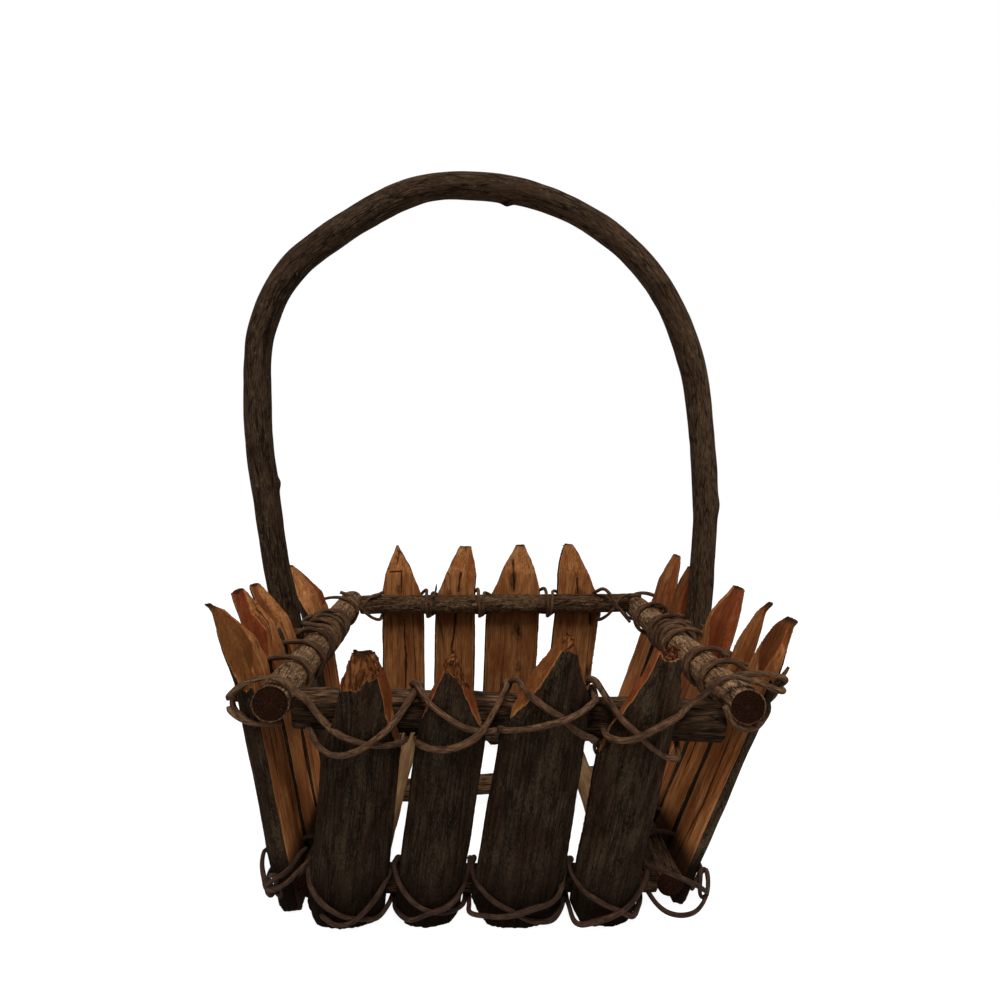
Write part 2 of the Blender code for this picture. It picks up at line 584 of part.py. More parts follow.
def vine_points(row, level, hand, diameter):
    """A strand's route. Hand 1 crosses each picket downward, hand -1 upward and one vine further out."""
    branch = row.rim if level == "rim" else row.base
    gap = {"rim": SIDE_RIM_GAP, "base": SIDE_BASE_GAP}[level]
    layer = 0 if hand == 1 else diameter + 3 * CLEARANCE
    turn_radius = (branch.radius + diameter / 2 + CLEARANCE) * TURN_SHARE + layer

    def on_rail(index, degrees):
        angle = math.radians(degrees)
        rough = wrap_place(row, index, gap, branch.start.z)
        centre = rail_centre(branch, row.along, row.outward, rough)
        height = centre.y + turn_radius * math.sin(angle)
        place = wrap_place(row, index, gap, height)
        return (row.along * place + row.outward * (centre.x + turn_radius * math.cos(angle))
                + Vector((0, 0, height)))

    def off_rail(index, share):
        rough = wrap_place(row, index, gap, branch.start.z)
        centre = rail_centre(branch, row.along, row.outward, rough)
        height = centre.y + turn_radius * share
        place = wrap_place(row, index, gap, height)
        point, normal = outer_tangent(row, place, place)
        depth = PICKET_EDGE_THICKNESS + diameter
        outward = point.x - (height - point.y) * normal.y / normal.x + depth / normal.x
        return row.along * place + row.outward * outward + Vector((0, 0, height))

    def on_face(item, side, share):
        place = item.rim_place if level == "rim" else item.base_place
        width = item.rim_width if level == "rim" else item.base_width
        frame = stave_frame(row, item.rim_place, item.base_place)
        centre = rail_centre(branch, row.along, row.outward, place)
        w = item.thickness + diameter / 2 + CLEARANCE + item.reach + layer
        v = (centre.y + turn_radius * share - frame.translation.z - w * frame.col[2].z) / frame.col[1].z
        return frame @ Vector((side * item.face_share * width, v, w))

    heights = RIM_CROSSING_SHARES if level == "rim" else BASE_CROSSING_SHARES
    turn = TURN_DEGREES
    first_hook, last_hook = FIRST_HOOK_DEGREES, LAST_HOOK_DEGREES
    if hand == -1:
        heights = tuple(reversed(heights))
        turn = tuple(reversed(turn))
        first_hook, last_hook = tuple(reversed(last_hook)), tuple(reversed(first_hook))
    # At the base's front left corner the left row's strands take the room round the rail
    if (level, row.name) == ("base", "front"):
        first_hook = ()
    points = [on_rail(0, degrees) for degrees in first_hook]
    last = len(row.items) - 1
    for index, item in enumerate(row.items):
        points.append(off_rail(index, heights[0]))
        points.append(on_face(item, -1, heights[1]))
        points.append(on_face(item, 1, heights[2]))
        points.append(off_rail(index + 1, heights[3]))
        points.extend(on_rail(index + 1, degrees) for degrees in (last_hook if index == last else turn))
    return points


def least_gap(points, diameter):
    """Least gap between stretches of one strand that lie at least six diameters apart along it."""
    dense = smooth_path(points, 4)
    runs = [0]
    for before, after in zip(dense, dense[1:]):
        runs.append(runs[-1] + (after - before).length)
    best = math.inf
    for first, start in enumerate(dense):
        for second in range(first + 1, len(dense)):
            if runs[second] - runs[first] > 6 * diameter:
                best = min(best, (start - dense[second]).length)
    return best - diameter


def add_vines():
    for level, diameter in (("rim", RIM_VINE_DIAMETER), ("base", BASE_VINE_DIAMETER)):
        for row in ROWS.values():
            for hand, letter in ((1, "a"), (-1, "b")):
                name = f"{level}_{row.name}_vine_{letter}"
                points = vine_points(row, level, hand, diameter)
                add_tube(name, points, diameter, VINE_BEVEL_RESOLUTION, MATERIALS["vine"])
                length = sum((b - a).length for a, b in zip(points, points[1:]))
                gap = least_gap(points, diameter) * 1000
                print(f"{name}: {length:.3f} m long, least gap to itself {gap:.2f} mm")


def centre_on_floor():
    """Move the whole basket so that its origin is under the middle of its bounding box."""
    bpy.context.view_layer.update()
    graph = bpy.context.evaluated_depsgraph_get()
    points = []
    for piece in BASKET.children:
        evaluated = piece.evaluated_get(graph)
        points.extend(piece.matrix_world @ vertex.co for vertex in evaluated.to_mesh().vertices)
        evaluated.to_mesh_clear()
    middle_x = (min(p.x for p in points) + max(p.x for p in points)) / 2
    middle_y = (min(p.y for p in points) + max(p.y for p in points)) / 2
    BASKET.location = (-middle_x, -middle_y, 0)
    bpy.context.view_layer.update()
    print(f"basket moved by {-middle_x:.4f}, {-middle_y:.4f} m to stand on its origin")


clear_scene()
BASKET = bpy.data.objects.new("basket", None)
bpy.context.scene.collection.objects.link(BASKET)
MATERIALS = make_materials()
RAILS, ROWS = lay_out_rows()
for rail_name, rail_branch in RAILS.items():
    add_rail(rail_name, rail_branch)
for picket_row in ROWS.values():
    for picket_item in picket_row.items:
        if picket_item.name.endswith("_leg"):
            continue
        add_picket(picket_item, picket_row)
for slat_index, slat_shares in enumerate(SLAT_PLACE_SHARES):
    add_slat(f"floor_slat_{slat_index + 1}", slat_shares)
add_tube("handle", smooth_path(handle_points(), HANDLE_STEPS_PER_BEND), HANDLE_DIAMETER,
         HANDLE_BEVEL_RESOLUTION, MATERIALS["rail_bark"])
add_vines()
centre_on_floor()
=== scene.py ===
# %% [markdown]
# # A foraging basket of split branches
# Seventeen split branches stand round two frames of round branches, and thin vines lash them on. A single
# bent branch is the handle. Every piece is real wood, so the lesson is about giving simple solids the torn
# tips, furrows, knots and fibres that wood has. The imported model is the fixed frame: each new piece takes
# its place from the node that it stands for.

# %% Load the frame
import math
import random

import bmesh
import bpy
import numpy as np
from mathutils import Matrix, Vector, noise
from mathutils.bvhtree import BVHTree


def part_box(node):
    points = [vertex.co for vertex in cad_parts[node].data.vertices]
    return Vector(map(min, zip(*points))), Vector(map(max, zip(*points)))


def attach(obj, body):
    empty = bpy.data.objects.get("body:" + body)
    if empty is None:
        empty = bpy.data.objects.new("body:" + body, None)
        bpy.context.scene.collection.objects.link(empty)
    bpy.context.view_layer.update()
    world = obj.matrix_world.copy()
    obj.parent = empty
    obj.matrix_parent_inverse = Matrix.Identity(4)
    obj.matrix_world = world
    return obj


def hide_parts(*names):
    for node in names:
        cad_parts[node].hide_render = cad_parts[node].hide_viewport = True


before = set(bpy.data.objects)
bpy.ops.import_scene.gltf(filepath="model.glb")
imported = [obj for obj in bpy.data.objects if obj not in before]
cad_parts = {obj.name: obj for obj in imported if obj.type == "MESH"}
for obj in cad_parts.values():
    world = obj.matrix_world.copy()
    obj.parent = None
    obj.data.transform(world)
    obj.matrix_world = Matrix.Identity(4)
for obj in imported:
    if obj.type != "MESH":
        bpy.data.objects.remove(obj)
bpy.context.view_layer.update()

# %% [markdown]
# ## Camera
# The photograph looks from the front, a little above the rim and slightly to the right. Its place and lens
# were solved from the perspective of the frames' rails. The whole camera also rolls a little, so its three
# axes are written as the columns of its matrix.

# %% Camera
# The place is in metres, the lens and the sensor are in millimetres
CAMERA_PLACE = Vector((-0.0195, -0.4255, 0.2240))
CAMERA_LENS, CAMERA_SENSOR = 24.84, 36.0
CAMERA_NEAR = 0.01
CAMERA_YAW, CAMERA_PITCH, CAMERA_ROLL = (math.radians(angle) for angle in (2.67, 3.55, 1.35))


def camera_matrix():
    forward = Vector((math.sin(CAMERA_YAW) * math.cos(CAMERA_PITCH),
                      math.cos(CAMERA_YAW) * math.cos(CAMERA_PITCH), -math.sin(CAMERA_PITCH)))
    level = forward.cross(Vector((0, 0, 1))).normalized()
    rise = level.cross(forward)
    right = level * math.cos(CAMERA_ROLL) + rise * math.sin(CAMERA_ROLL)
    up = rise * math.cos(CAMERA_ROLL) - level * math.sin(CAMERA_ROLL)
    return Matrix.Translation(CAMERA_PLACE) @ Matrix((right, up, -forward)).transposed().to_4x4()


bpy.ops.object.camera_add()
camera = bpy.context.object
camera.data.lens = CAMERA_LENS
camera.data.sensor_width = CAMERA_SENSOR
camera.data.clip_start = CAMERA_NEAR
camera.matrix_world = camera_matrix()
bpy.context.scene.camera = camera
print("camera at", [round(v, 3) for v in camera.location])

# %% [markdown]
# ## Light and floor
# A big soft lamp above and in front gives the shape, a weak one fills the left, and a pale world
# lights the rest. The white background comes from what camera rays see, so it adds no light.

# %% World and lamps
WORLD_STRENGTH = 0.27
# Name, place, the point that it faces, size in metres and power in watts
LAMPS = (
    ("key_lamp", (0.15, -0.75, 1.6), (0, 0, 0.12), 0.7, 26),
    ("fill_lamp", (-1.2, -0.9, 0.8), (0, 0, 0.15), 0.9, 4),
)
scene = bpy.context.scene
scene.view_settings.view_transform = "Standard"
world = bpy.data.worlds.new("studio")
scene.world = world
world.use_nodes = True


def add_node(tree, kind, settings=None, **inputs):
    """A shader node; an input is given by name, or as _0, _1 by its place, with a value or a socket."""
    made = tree.nodes.new(kind)
    for key, value in (settings or {}).items():
        setattr(made, key, value)
    for key, value in inputs.items():
        socket = made.inputs[int(key[1:])] if key[0] == "_" else made.inputs[key.replace("_", " ")]
        if isinstance(value, bpy.types.NodeSocket):
            tree.links.new(value, socket)
        else:
            socket.default_value = value
    return made


def calculate(tree, operation, *values):
    return add_node(tree, "ShaderNodeMath", {"operation": operation},
                    **{f"_{index}": value for index, value in enumerate(values)}).outputs[0]


def seen_directly(tree):
    """1 for camera and glossy rays, and 0 for all others."""
    rays = add_node(tree, "ShaderNodeLightPath").outputs
    return calculate(tree, "MAXIMUM", rays["Is Camera Ray"], rays["Is Glossy Ray"])


def light_world(tree):
    tree.nodes.clear()
    soft = add_node(tree, "ShaderNodeBackground", Color=(1.0, 0.985, 0.96, 1), Strength=WORLD_STRENGTH)
    white = add_node(tree, "ShaderNodeBackground", Color=(1, 1, 1, 1), Strength=1.0)
    mixed = add_node(tree, "ShaderNodeMixShader", _0=seen_directly(tree), _1=soft.outputs[0],
                     _2=white.outputs[0])
    add_node(tree, "ShaderNodeOutputWorld", Surface=mixed.outputs[0])


def add_lamp(name, place, target, size, power):
    bpy.ops.object.light_add(type="AREA", location=place)
    lamp = bpy.context.object
    lamp.name = name
    lamp.data.size = size
    lamp.data.energy = power
    lamp.rotation_euler = (Vector(target) - Vector(place)).to_track_quat("-Z", "Y").to_euler()


light_world(world.node_tree)
for lamp in LAMPS:
    add_lamp(*lamp)
print("world and", len(LAMPS), "lamps")

# %% Floor
FLOOR_SIZE = 6.0
FLOOR_DROP = 0.0004
bpy.ops.mesh.primitive_plane_add(size=FLOOR_SIZE, location=(0, 0, -FLOOR_DROP))
floor = bpy.context.object
floor.name = "studio_floor"
floor_material = bpy.data.materials.new("pale_floor")
floor_material.use_nodes = True


def whiten_floor(tree):
    """A pale diffuse floor that keeps shadows, lifted to white for camera and glossy rays only."""
    tree.nodes.clear()
    pale = add_node(tree, "ShaderNodeBsdfPrincipled", Base_Color=(0.62, 0.62, 0.62, 1), Roughness=0.9)
    shadow = add_node(tree, "ShaderNodeBsdfDiffuse", Color=(0.25, 0.25, 0.25, 1))
    white = add_node(tree, "ShaderNodeEmission", Color=(1, 1, 1, 1), Strength=0.94)
    lifted = add_node(tree, "ShaderNodeAddShader", _0=shadow.outputs[0], _1=white.outputs[0])
    mixed = add_node(tree, "ShaderNodeMixShader", _0=seen_directly(tree), _1=pale.outputs[0],
                     _2=lifted.outputs[0])
    add_node(tree, "ShaderNodeOutputMaterial", Surface=mixed.outputs[0])


whiten_floor(floor_material.node_tree)
floor.data.materials.append(floor_material)
print("floor is", FLOOR_SIZE, "m wide")

# %% [markdown]
# ## Shared effects
# Wood shows the same few effects everywhere: streaks that run with the grain, cracks that open along it,
# and broad patches of weathering. Each is a node group built once. They all read a vector in metres whose Y
# runs along the branch, stored on each piece as the attribute "grain", so a bent branch keeps its grain.

# %% Node groups
def new_group(name, output, **values):
    """An empty group that takes a vector and a number for each named value, and gives one number."""
    tree = bpy.data.node_groups.new(name, "ShaderNodeTree")
    tree.interface.new_socket("Vector", in_out="INPUT", socket_type="NodeSocketVector")
    for label, value in values.items():
        tree.interface.new_socket(label, in_out="INPUT", socket_type="NodeSocketFloat").default_value = value
    tree.interface.new_socket(output, in_out="OUTPUT", socket_type="NodeSocketFloat")
    return tree, tree.nodes.new("NodeGroupInput").outputs, tree.nodes.new("NodeGroupOutput").inputs


def stretched(tree, given):
    """The group's vector, with its own scale across the grain and along it."""
    scales = add_node(tree, "ShaderNodeCombineXYZ", X=given["Across"], Y=given["Along"], Z=given["Across"])
    return add_node(tree, "ShaderNodeVectorMath", {"operation": "MULTIPLY"},
                    _0=given["Vector"], _1=scales.outputs[0]).outputs[0]


def noise_value(tree, vector, scale, detail, **settings):
    return add_node(tree, "ShaderNodeTexNoise", Vector=vector, Scale=scale, Detail=detail,
                    **settings).outputs["Fac"]


def rise_between(tree, value, low, high, **ends):
    return add_node(tree, "ShaderNodeMapRange", {"interpolation_type": "SMOOTHSTEP"}, Value=value,
                    From_Min=low, From_Max=high, **ends).outputs[0]


def build_noise(name, across, along, low, high, detail, **settings):
    """Noise that is stretched with the grain, and spread to run from 0 at Low to 1 at High."""
    tree, given, out = new_group(name, "Value", Across=across, Along=along, Low=low, High=high)
    value = noise_value(tree, stretched(tree, given), 1.0, detail, **settings)
    tree.links.new(rise_between(tree, value, given["Low"], given["High"]), out["Value"])
    return tree


def build_cracks():
    """Thin wandering lines that run with the grain, in some patches only."""
    tree, given, out = new_group("grain_cracks", "Mask", Across=260.0, Along=22.0, Width=0.05, Amount=0.5)
    place = stretched(tree, given)
    wander = add_node(tree, "ShaderNodeTexNoise", Vector=place, Scale=1.3, Detail=3.0)
    bent = add_node(tree, "ShaderNodeVectorMath", {"operation": "MULTIPLY_ADD"},
                    _0=wander.outputs["Color"], _1=(0.5, 0.5, 0.5), _2=place)
    cells = add_node(tree, "ShaderNodeTexVoronoi", {"feature": "DISTANCE_TO_EDGE"},
                     Vector=bent.outputs[0], Scale=1.0)
    line = rise_between(tree, cells.outputs["Distance"], 0.0, given["Width"], To_Min=1.0, To_Max=0.0)
    start = calculate(tree, "SUBTRACT", 1.0, given["Amount"])
    some = add_node(tree, "ShaderNodeMapRange", Value=noise_value(tree, place, 0.6, 1.0), From_Min=start,
                    From_Max=calculate(tree, "ADD", start, 0.12)).outputs[0]
    tree.links.new(calculate(tree, "MULTIPLY", line, some), out["Mask"])
    return tree


STREAKS = build_noise("grain_streaks", 900.0, 60.0, 0.35, 0.65, 5.0, Roughness=0.62)
CRACKS = build_cracks()
PATCHES = build_noise("weather_patches", 60.0, 30.0, 0.42, 0.62, 3.0, Roughness=0.55, Distortion=0.6)
print("groups:", STREAKS.name, CRACKS.name, PATCHES.name)

# %% [markdown]
# ## Materials
# A split branch has two faces: dark furrowed bark outside, and orange-brown split wood inside. Every piece
# carries "bark_depth", how far a point lies under the bark's surface. One material then turns from bark to
# wood where a cut goes through the bark, with a pale band of inner bark between them, exactly where the shape
# was cut. Three more attributes say where a tip was cut to a facet, where the wood is cracked, torn or
# hollow, and how light, red and stained it is.
# The lightness and the stain also hold painted light and painted shade: darker feet and flanks, and wood made
# darker or lighter below the rim.

# %% Colours
def shade(red, green, blue):
    """A colour picked on screen, 0 to 255, as the linear value that a shader takes."""
    return (*(((part / 255 + 0.055) / 1.055) ** 2.4 if part > 10 else part / 255 / 12.92
              for part in (red, green, blue)), 1.0)


def pattern(tree, group, grain, *values):
    """A group's pattern along a grain.

    The numbers are Across and Along, and then Low and High, or for cracks Width and Amount.
    """
    inputs = {f"_{place}": value for place, value in enumerate(values, 1)}
    return add_node(tree, "ShaderNodeGroup", {"node_tree": group}, Vector=grain, **inputs).outputs[0]


def mix_colour(tree, factor, first, second, blend="MIX"):
    """The first colour where the factor is 0, and the second, blended with it, where it is 1."""
    made = tree.nodes.new("ShaderNodeMix")
    made.data_type = "RGBA"
    made.blend_type = blend
    for place, value in ((0, factor), (6, first), (7, second)):
        if isinstance(value, bpy.types.NodeSocket):
            tree.links.new(value, made.inputs[place])
        else:
            made.inputs[place].default_value = value
    return made.outputs[2]


def stained(tree, colour, mask, amount, stain):
    """A colour with a stain, a mark or painted shade laid over it where the mask is 1, as strong as the
    amount.
    """
    return mix_colour(tree, calculate(tree, "MULTIPLY", mask, amount), colour, stain)


def lightened(tree, colour, value, least, most):
    """A colour times a factor that runs from least to most as the value runs from 0 to 1."""
    factor = mix_colour(tree, value, (least, least, least, 1), (most, most, most, 1))
    return mix_colour(tree, 1.0, colour, factor, "MULTIPLY")


def weighed(tree, first, share, second):
    """A share of the first value, and the second for the rest."""
    return calculate(tree, "MULTIPLY_ADD", first, share, calculate(tree, "MULTIPLY", second, 1 - share))


def attribute(tree, name, output="Fac"):
    return add_node(tree, "ShaderNodeAttribute", {"attribute_name": name}).outputs[output]


def parts_of(tree, vector):
    return add_node(tree, "ShaderNodeSeparateXYZ", Vector=vector).outputs


def new_material(name):
    """A material with an empty shader, and the grain that its patterns follow."""
    material = bpy.data.materials.new(name)
    material.use_nodes = True
    tree = material.node_tree
    tree.nodes.clear()
    shader = add_node(tree, "ShaderNodeBsdfPrincipled")
    add_node(tree, "ShaderNodeOutputMaterial", Surface=shader.outputs[0])
    return material, tree, shader, attribute(tree, "grain", "Vector")


def finish_shader(tree, shader, colour, roughness, specular, height, depth):
    """Joins the colour, the roughness and a relief of a depth in metres to the shader."""
    tree.links.new(colour, shader.inputs["Base Color"])
    tree.links.new(roughness, shader.inputs["Roughness"])
    shader.inputs["Specular IOR Level"].default_value = specular
    bump = add_node(tree, "ShaderNodeBump", Strength=1.0, Distance=depth, Height=height)
    tree.links.new(bump.outputs[0], shader.inputs["Normal"])


print("bark colour for instance:", [round(v, 4) for v in shade(50, 40, 33)])


# %% Bark and split wood
def bark_colour(tree, grain, dark, light, red):
    """Bark: fine furrows on broad patches, and dark fissures. Gives its colour and its relief."""
    fine = pattern(tree, STREAKS, grain, 2300.0, 560.0, 0.36, 0.66)
    wide = pattern(tree, STREAKS, grain, 260.0, 60.0, 0.34, 0.68)
    patch = pattern(tree, PATCHES, grain, 90.0, 36.0)
    fissure = pattern(tree, CRACKS, grain, 480.0, 30.0, 0.13, 0.6)
    both = weighed(tree, wide, 0.45, fine)
    colour = stained(tree, mix_colour(tree, both, dark, light), patch, 0.5, red)
    colour = stained(tree, colour, fissure, 0.5, shade(9, 5, 3))
    return colour, calculate(tree, "SUBTRACT", both, fissure)


def wood_colour(tree, grain, dark, light, red):
    """Split wood: streaks and broad bands. Gives its colour and its relief."""
    fibre = pattern(tree, STREAKS, grain, 1500.0, 70.0, 0.34, 0.66)
    band = pattern(tree, STREAKS, grain, 300.0, 18.0, 0.28, 0.72)
    fleck = pattern(tree, STREAKS, grain, 2300.0, 210.0, 0.58, 0.70)
    patch = pattern(tree, PATCHES, grain, 70.0, 26.0)
    both = weighed(tree, band, 0.5, fibre)
    colour = stained(tree, mix_colour(tree, both, dark, light), patch, 0.55, red)
    colour = stained(tree, colour, fleck, 0.45, shade(58, 30, 17))
    return colour, calculate(tree, "SUBTRACT", both, fleck)


print("bark and split wood ready")


# %% Split branch material
# Depths under the bark's surface, in metres, between which bark turns to wood and the inner bark fades
BARK_TO_WOOD = (0.0010, 0.0013)
INNER_BARK_FADE = (0.0015, 0.0023)
RAGGED_EDGE = 0.0006


def cracked_wood(tree, grain, wood, ragged, placed, red):
    """Split wood with its cracks and its cut facets. Gives its colour and its cracks."""
    deep = attribute(tree, "facet")
    crack = pattern(tree, CRACKS, grain, 170.0, 7.5, 0.055, 0.46)
    crack = calculate(tree, "MULTIPLY", crack, calculate(tree, "SUBTRACT", 1.0, deep))
    placed = rise_between(tree, calculate(tree, "MULTIPLY_ADD", ragged, 0.35, placed), 0.55, 0.85)
    crack = calculate(tree, "MAXIMUM", crack, placed)
    facet = mix_colour(tree, red, shade(108, 74, 38), shade(116, 52, 30))
    wood = stained(tree, wood, deep, 0.8, mix_colour(tree, 0.55, facet, wood, "OVERLAY"))
    return stained(tree, wood, crack, 0.85, shade(30, 13, 7)), crack


def torn_wood(tree, wood, fringe, mark):
    """Wood with its torn and its hollow places."""
    torn = mix_colour(tree, fringe, shade(48, 22, 11), shade(142, 88, 48))
    hollow = mix_colour(tree, fringe, shade(24, 10, 6), shade(100, 58, 38))
    return mix_colour(tree, mark["Z"], stained(tree, wood, mark["Y"], 0.9, torn), hollow)


def split_branch_material(name, *woods):
    material, tree, shader, grain = new_material(name)
    tone = parts_of(tree, attribute(tree, "tone", "Vector"))
    mark = parts_of(tree, attribute(tree, "mark", "Vector"))
    bark, furrows = bark_colour(tree, grain, shade(14, 8, 5), shade(80, 66, 50), shade(48, 28, 19))
    wood, fibre = wood_colour(tree, grain, *woods)
    ragged = pattern(tree, STREAKS, grain, 760.0, 110.0, 0.2, 0.8)
    fringe = pattern(tree, STREAKS, grain, 900.0, 150.0, 0.36, 0.62)
    depth = calculate(tree, "MULTIPLY_ADD", ragged, RAGGED_EDGE, attribute(tree, "bark_depth"))
    is_wood = rise_between(tree, depth, *BARK_TO_WOOD)
    wood, crack = cracked_wood(tree, grain, wood, ragged, mark["X"], tone["Y"])
    wood = torn_wood(tree, wood, fringe, mark)
    inner_bark = calculate(tree, "SUBTRACT", is_wood, rise_between(tree, depth, *INNER_BARK_FADE))
    wood = stained(tree, wood, inner_bark, 0.5, shade(164, 114, 72))
    # Tone X lightens or darkens the colour, painted light and shade below the rim included
    colour = lightened(tree, mix_colour(tree, is_wood, bark, wood), tone["X"], 0.4, 1.6)
    # Tone Z lays on the dark stain of tips and knots, and the painted shade of feet and flanks
    colour = stained(tree, colour, tone["Z"], 0.85, shade(22, 13, 8))
    wood_relief = calculate(tree, "SUBTRACT", calculate(tree, "MULTIPLY", fibre, 0.4), crack)
    wood_relief = calculate(tree, "MULTIPLY_ADD", calculate(tree, "MULTIPLY", mark["Y"], fringe), 1.2,
                            wood_relief)
    relief = add_node(tree, "ShaderNodeMix", {"data_type": "FLOAT"}, _0=is_wood, _2=furrows,
                      _3=wood_relief).outputs[0]
    roughness = calculate(tree, "MULTIPLY_ADD", is_wood, -0.12, 0.92)
    finish_shader(tree, shader, colour, roughness, 0.02, relief, 0.0007)
    return material


SPLIT_BRANCH = split_branch_material("split_branch", shade(92, 49, 22), shade(182, 123, 74),
                                     shade(112, 56, 27))
SPLIT_SLAT = split_branch_material("split_slat", shade(78, 58, 38), shade(146, 116, 82), shade(98, 66, 42))
print("materials:", SPLIT_BRANCH.name, SPLIT_SLAT.name)


# %% [markdown]
# The round branches keep their bark all round. It is paler and rougher on the rails, smooth and dark on the
# handle, and their sawn ends show nearly black end grain with faint rings and a paler ring of bark. The
# attribute "end_grain" is 1 on a sawn end. The grain's X and Z give the distance from the branch's middle.

# %% Round branch materials
def end_grain_colour(tree, grain, bark):
    """A sawn end: dark end grain with faint rings and splits, its outermost band still bark."""
    place = parts_of(tree, grain)
    flat = add_node(tree, "ShaderNodeCombineXYZ", X=place["X"], Y=0.0, Z=place["Z"]).outputs[0]
    radius = add_node(tree, "ShaderNodeVectorMath", {"operation": "LENGTH"}, _0=flat).outputs["Value"]
    wobble = noise_value(tree, flat, 420.0, 4.0)
    speck = noise_value(tree, flat, 2600.0, 3.0)
    rings = calculate(tree, "MULTIPLY_ADD", wobble, 5.0, calculate(tree, "MULTIPLY", radius, 4600.0))
    ring = calculate(tree, "MULTIPLY_ADD", calculate(tree, "SINE", rings), 0.14,
                     rise_between(tree, speck, 0.42, 0.66))
    turned = add_node(tree, "ShaderNodeVectorMath", {"operation": "NORMALIZE"}, _0=flat).outputs[0]
    split = rise_between(tree, noise_value(tree, turned, 9.0, 4.0, Roughness=0.7), 0.54, 0.60)
    split = calculate(tree, "MULTIPLY", split, rise_between(tree, radius, 0.001, 0.004))
    sawn = mix_colour(tree, ring, shade(10, 4, 3), shade(66, 36, 22))
    sawn = stained(tree, sawn, split, 0.6, shade(6, 3, 2))
    share = calculate(tree, "DIVIDE", radius, attribute(tree, "branch_radius"))
    middle = calculate(tree, "SUBTRACT", 1.0, rise_between(tree, share, 0.02, 0.10))
    sawn = stained(tree, sawn, middle, 0.25, shade(90, 62, 46))
    edge = rise_between(tree, calculate(tree, "MULTIPLY_ADD", wobble, 0.10, share), 0.97, 1.03)
    return mix_colour(tree, edge, sawn, mix_colour(tree, 0.6, bark, shade(18, 10, 7)))


def round_branch_material(name, dark, light, red, across, along, relief, spots=0.0):
    material, tree, shader, grain = new_material(name)
    fine = pattern(tree, STREAKS, grain, across, along, 0.37, 0.63)
    wide = pattern(tree, STREAKS, grain, across * 0.3, along * 0.5, 0.33, 0.67)
    patch = pattern(tree, PATCHES, grain, 95.0, 30.0)
    crack = pattern(tree, CRACKS, grain, 430.0, 46.0, 0.12, 0.56)
    spot = pattern(tree, PATCHES, grain, 620.0, 420.0, 0.62, 0.72)
    both = weighed(tree, wide, 0.4, fine)
    colour = stained(tree, mix_colour(tree, both, dark, light), patch, 0.5, red)
    colour = stained(tree, colour, crack, 0.8, shade(15, 8, 5))
    # The lightness holds each branch's tone with painted light: a paler crest, a lighter right side
    colour = lightened(tree, colour, attribute(tree, "lightness"), 0.3, 1.7)
    colour = stained(tree, colour, spot, spots, shade(112, 98, 80))
    end = attribute(tree, "end_grain")
    colour = mix_colour(tree, end, colour, end_grain_colour(tree, grain, colour))
    height = calculate(tree, "MULTIPLY", calculate(tree, "SUBTRACT", both, crack),
                       calculate(tree, "MULTIPLY_ADD", end, -0.6, 1.0))
    roughness = calculate(tree, "MULTIPLY_ADD", both, 0.1, 0.82)
    finish_shader(tree, shader, colour, roughness, 0.03, height, relief)
    return material


RAIL_BARK = round_branch_material("rail_branch", shade(26, 15, 9), shade(160, 126, 92), shade(96, 64, 44),
                                  1500.0, 420.0, 0.0010)
ROUGH_BARK = round_branch_material("rough_branch", shade(9, 5, 3), shade(150, 114, 84), shade(34, 18, 11),
                                   1500.0, 120.0, 0.0013)
HANDLE_BARK = round_branch_material("handle_branch", shade(26, 17, 11), shade(90, 70, 52), shade(58, 40, 28),
                                    2000.0, 230.0, 0.0005, spots=0.45)
print("materials:", RAIL_BARK.name, ROUGH_BARK.name, HANDLE_BARK.name)


# %% Vine materials
def vine_material(name, dark, light, red):
    material, tree, shader, grain = new_material(name)
    fine = pattern(tree, STREAKS, grain, 1500.0, 260.0, 0.3, 0.7)
    patch = pattern(tree, PATCHES, grain, 60.0, 26.0, 0.4, 0.6)
    stain = pattern(tree, PATCHES, grain, 300.0, 90.0, 0.52, 0.66)
    colour = stained(tree, mix_colour(tree, fine, dark, light), patch, 0.55, red)
    colour = stained(tree, colour, stain, 0.6, shade(28, 17, 12))
    roughness = calculate(tree, "MULTIPLY_ADD", fine, 0.12, 0.66)
    finish_shader(tree, shader, colour, roughness, 0.08, fine, 0.0004)
    return material


VINE_BARK = vine_material("vine_bark", shade(42, 26, 18), shade(122, 90, 62), shade(58, 37, 27))
DARK_VINE = vine_material("dark_vine", shade(26, 16, 11), shade(80, 58, 43), shade(48, 30, 22))
print("materials:", VINE_BARK.name, DARK_VINE.name)


# %% [markdown]
# ## Working by hand, in code
# An operator acts on whatever is selected, and the frame's nodes start out selected, so each step first
# clears the selection. Modifiers are added and applied with operators too, as the buttons would do.

# %% Helpers for modelling
def pick(piece):
    bpy.ops.object.select_all(action="DESELECT")
    piece.select_set(True)
    bpy.context.view_layer.objects.active = piece


def modify(piece, kind, **settings):
    """Add a modifier and apply it."""
    pick(piece)
    bpy.ops.object.modifier_add(type=kind)
    modifier = piece.modifiers[-1]
    for key, value in settings.items():
        setattr(modifier, key, value)
    bpy.ops.object.modifier_apply(modifier=modifier.name)


def vertex_values(piece, field):
    values = np.empty(len(piece.data.vertices) * 3)
    piece.data.vertices.foreach_get(field, values)
    return values.reshape(-1, 3)


def points_of(piece):
    return vertex_values(piece, "co")


def normals_of(piece):
    return vertex_values(piece, "normal")


def set_points(piece, points):
    piece.data.vertices.foreach_set("co", np.ascontiguousarray(points, np.float64).ravel())
    piece.data.update()


def store(piece, name, kind, values):
    layer = piece.data.attributes.new(name, kind, "POINT")
    layer.data.foreach_set("vector" if kind == "FLOAT_VECTOR" else "value",
                           np.ascontiguousarray(values, np.float32).ravel())


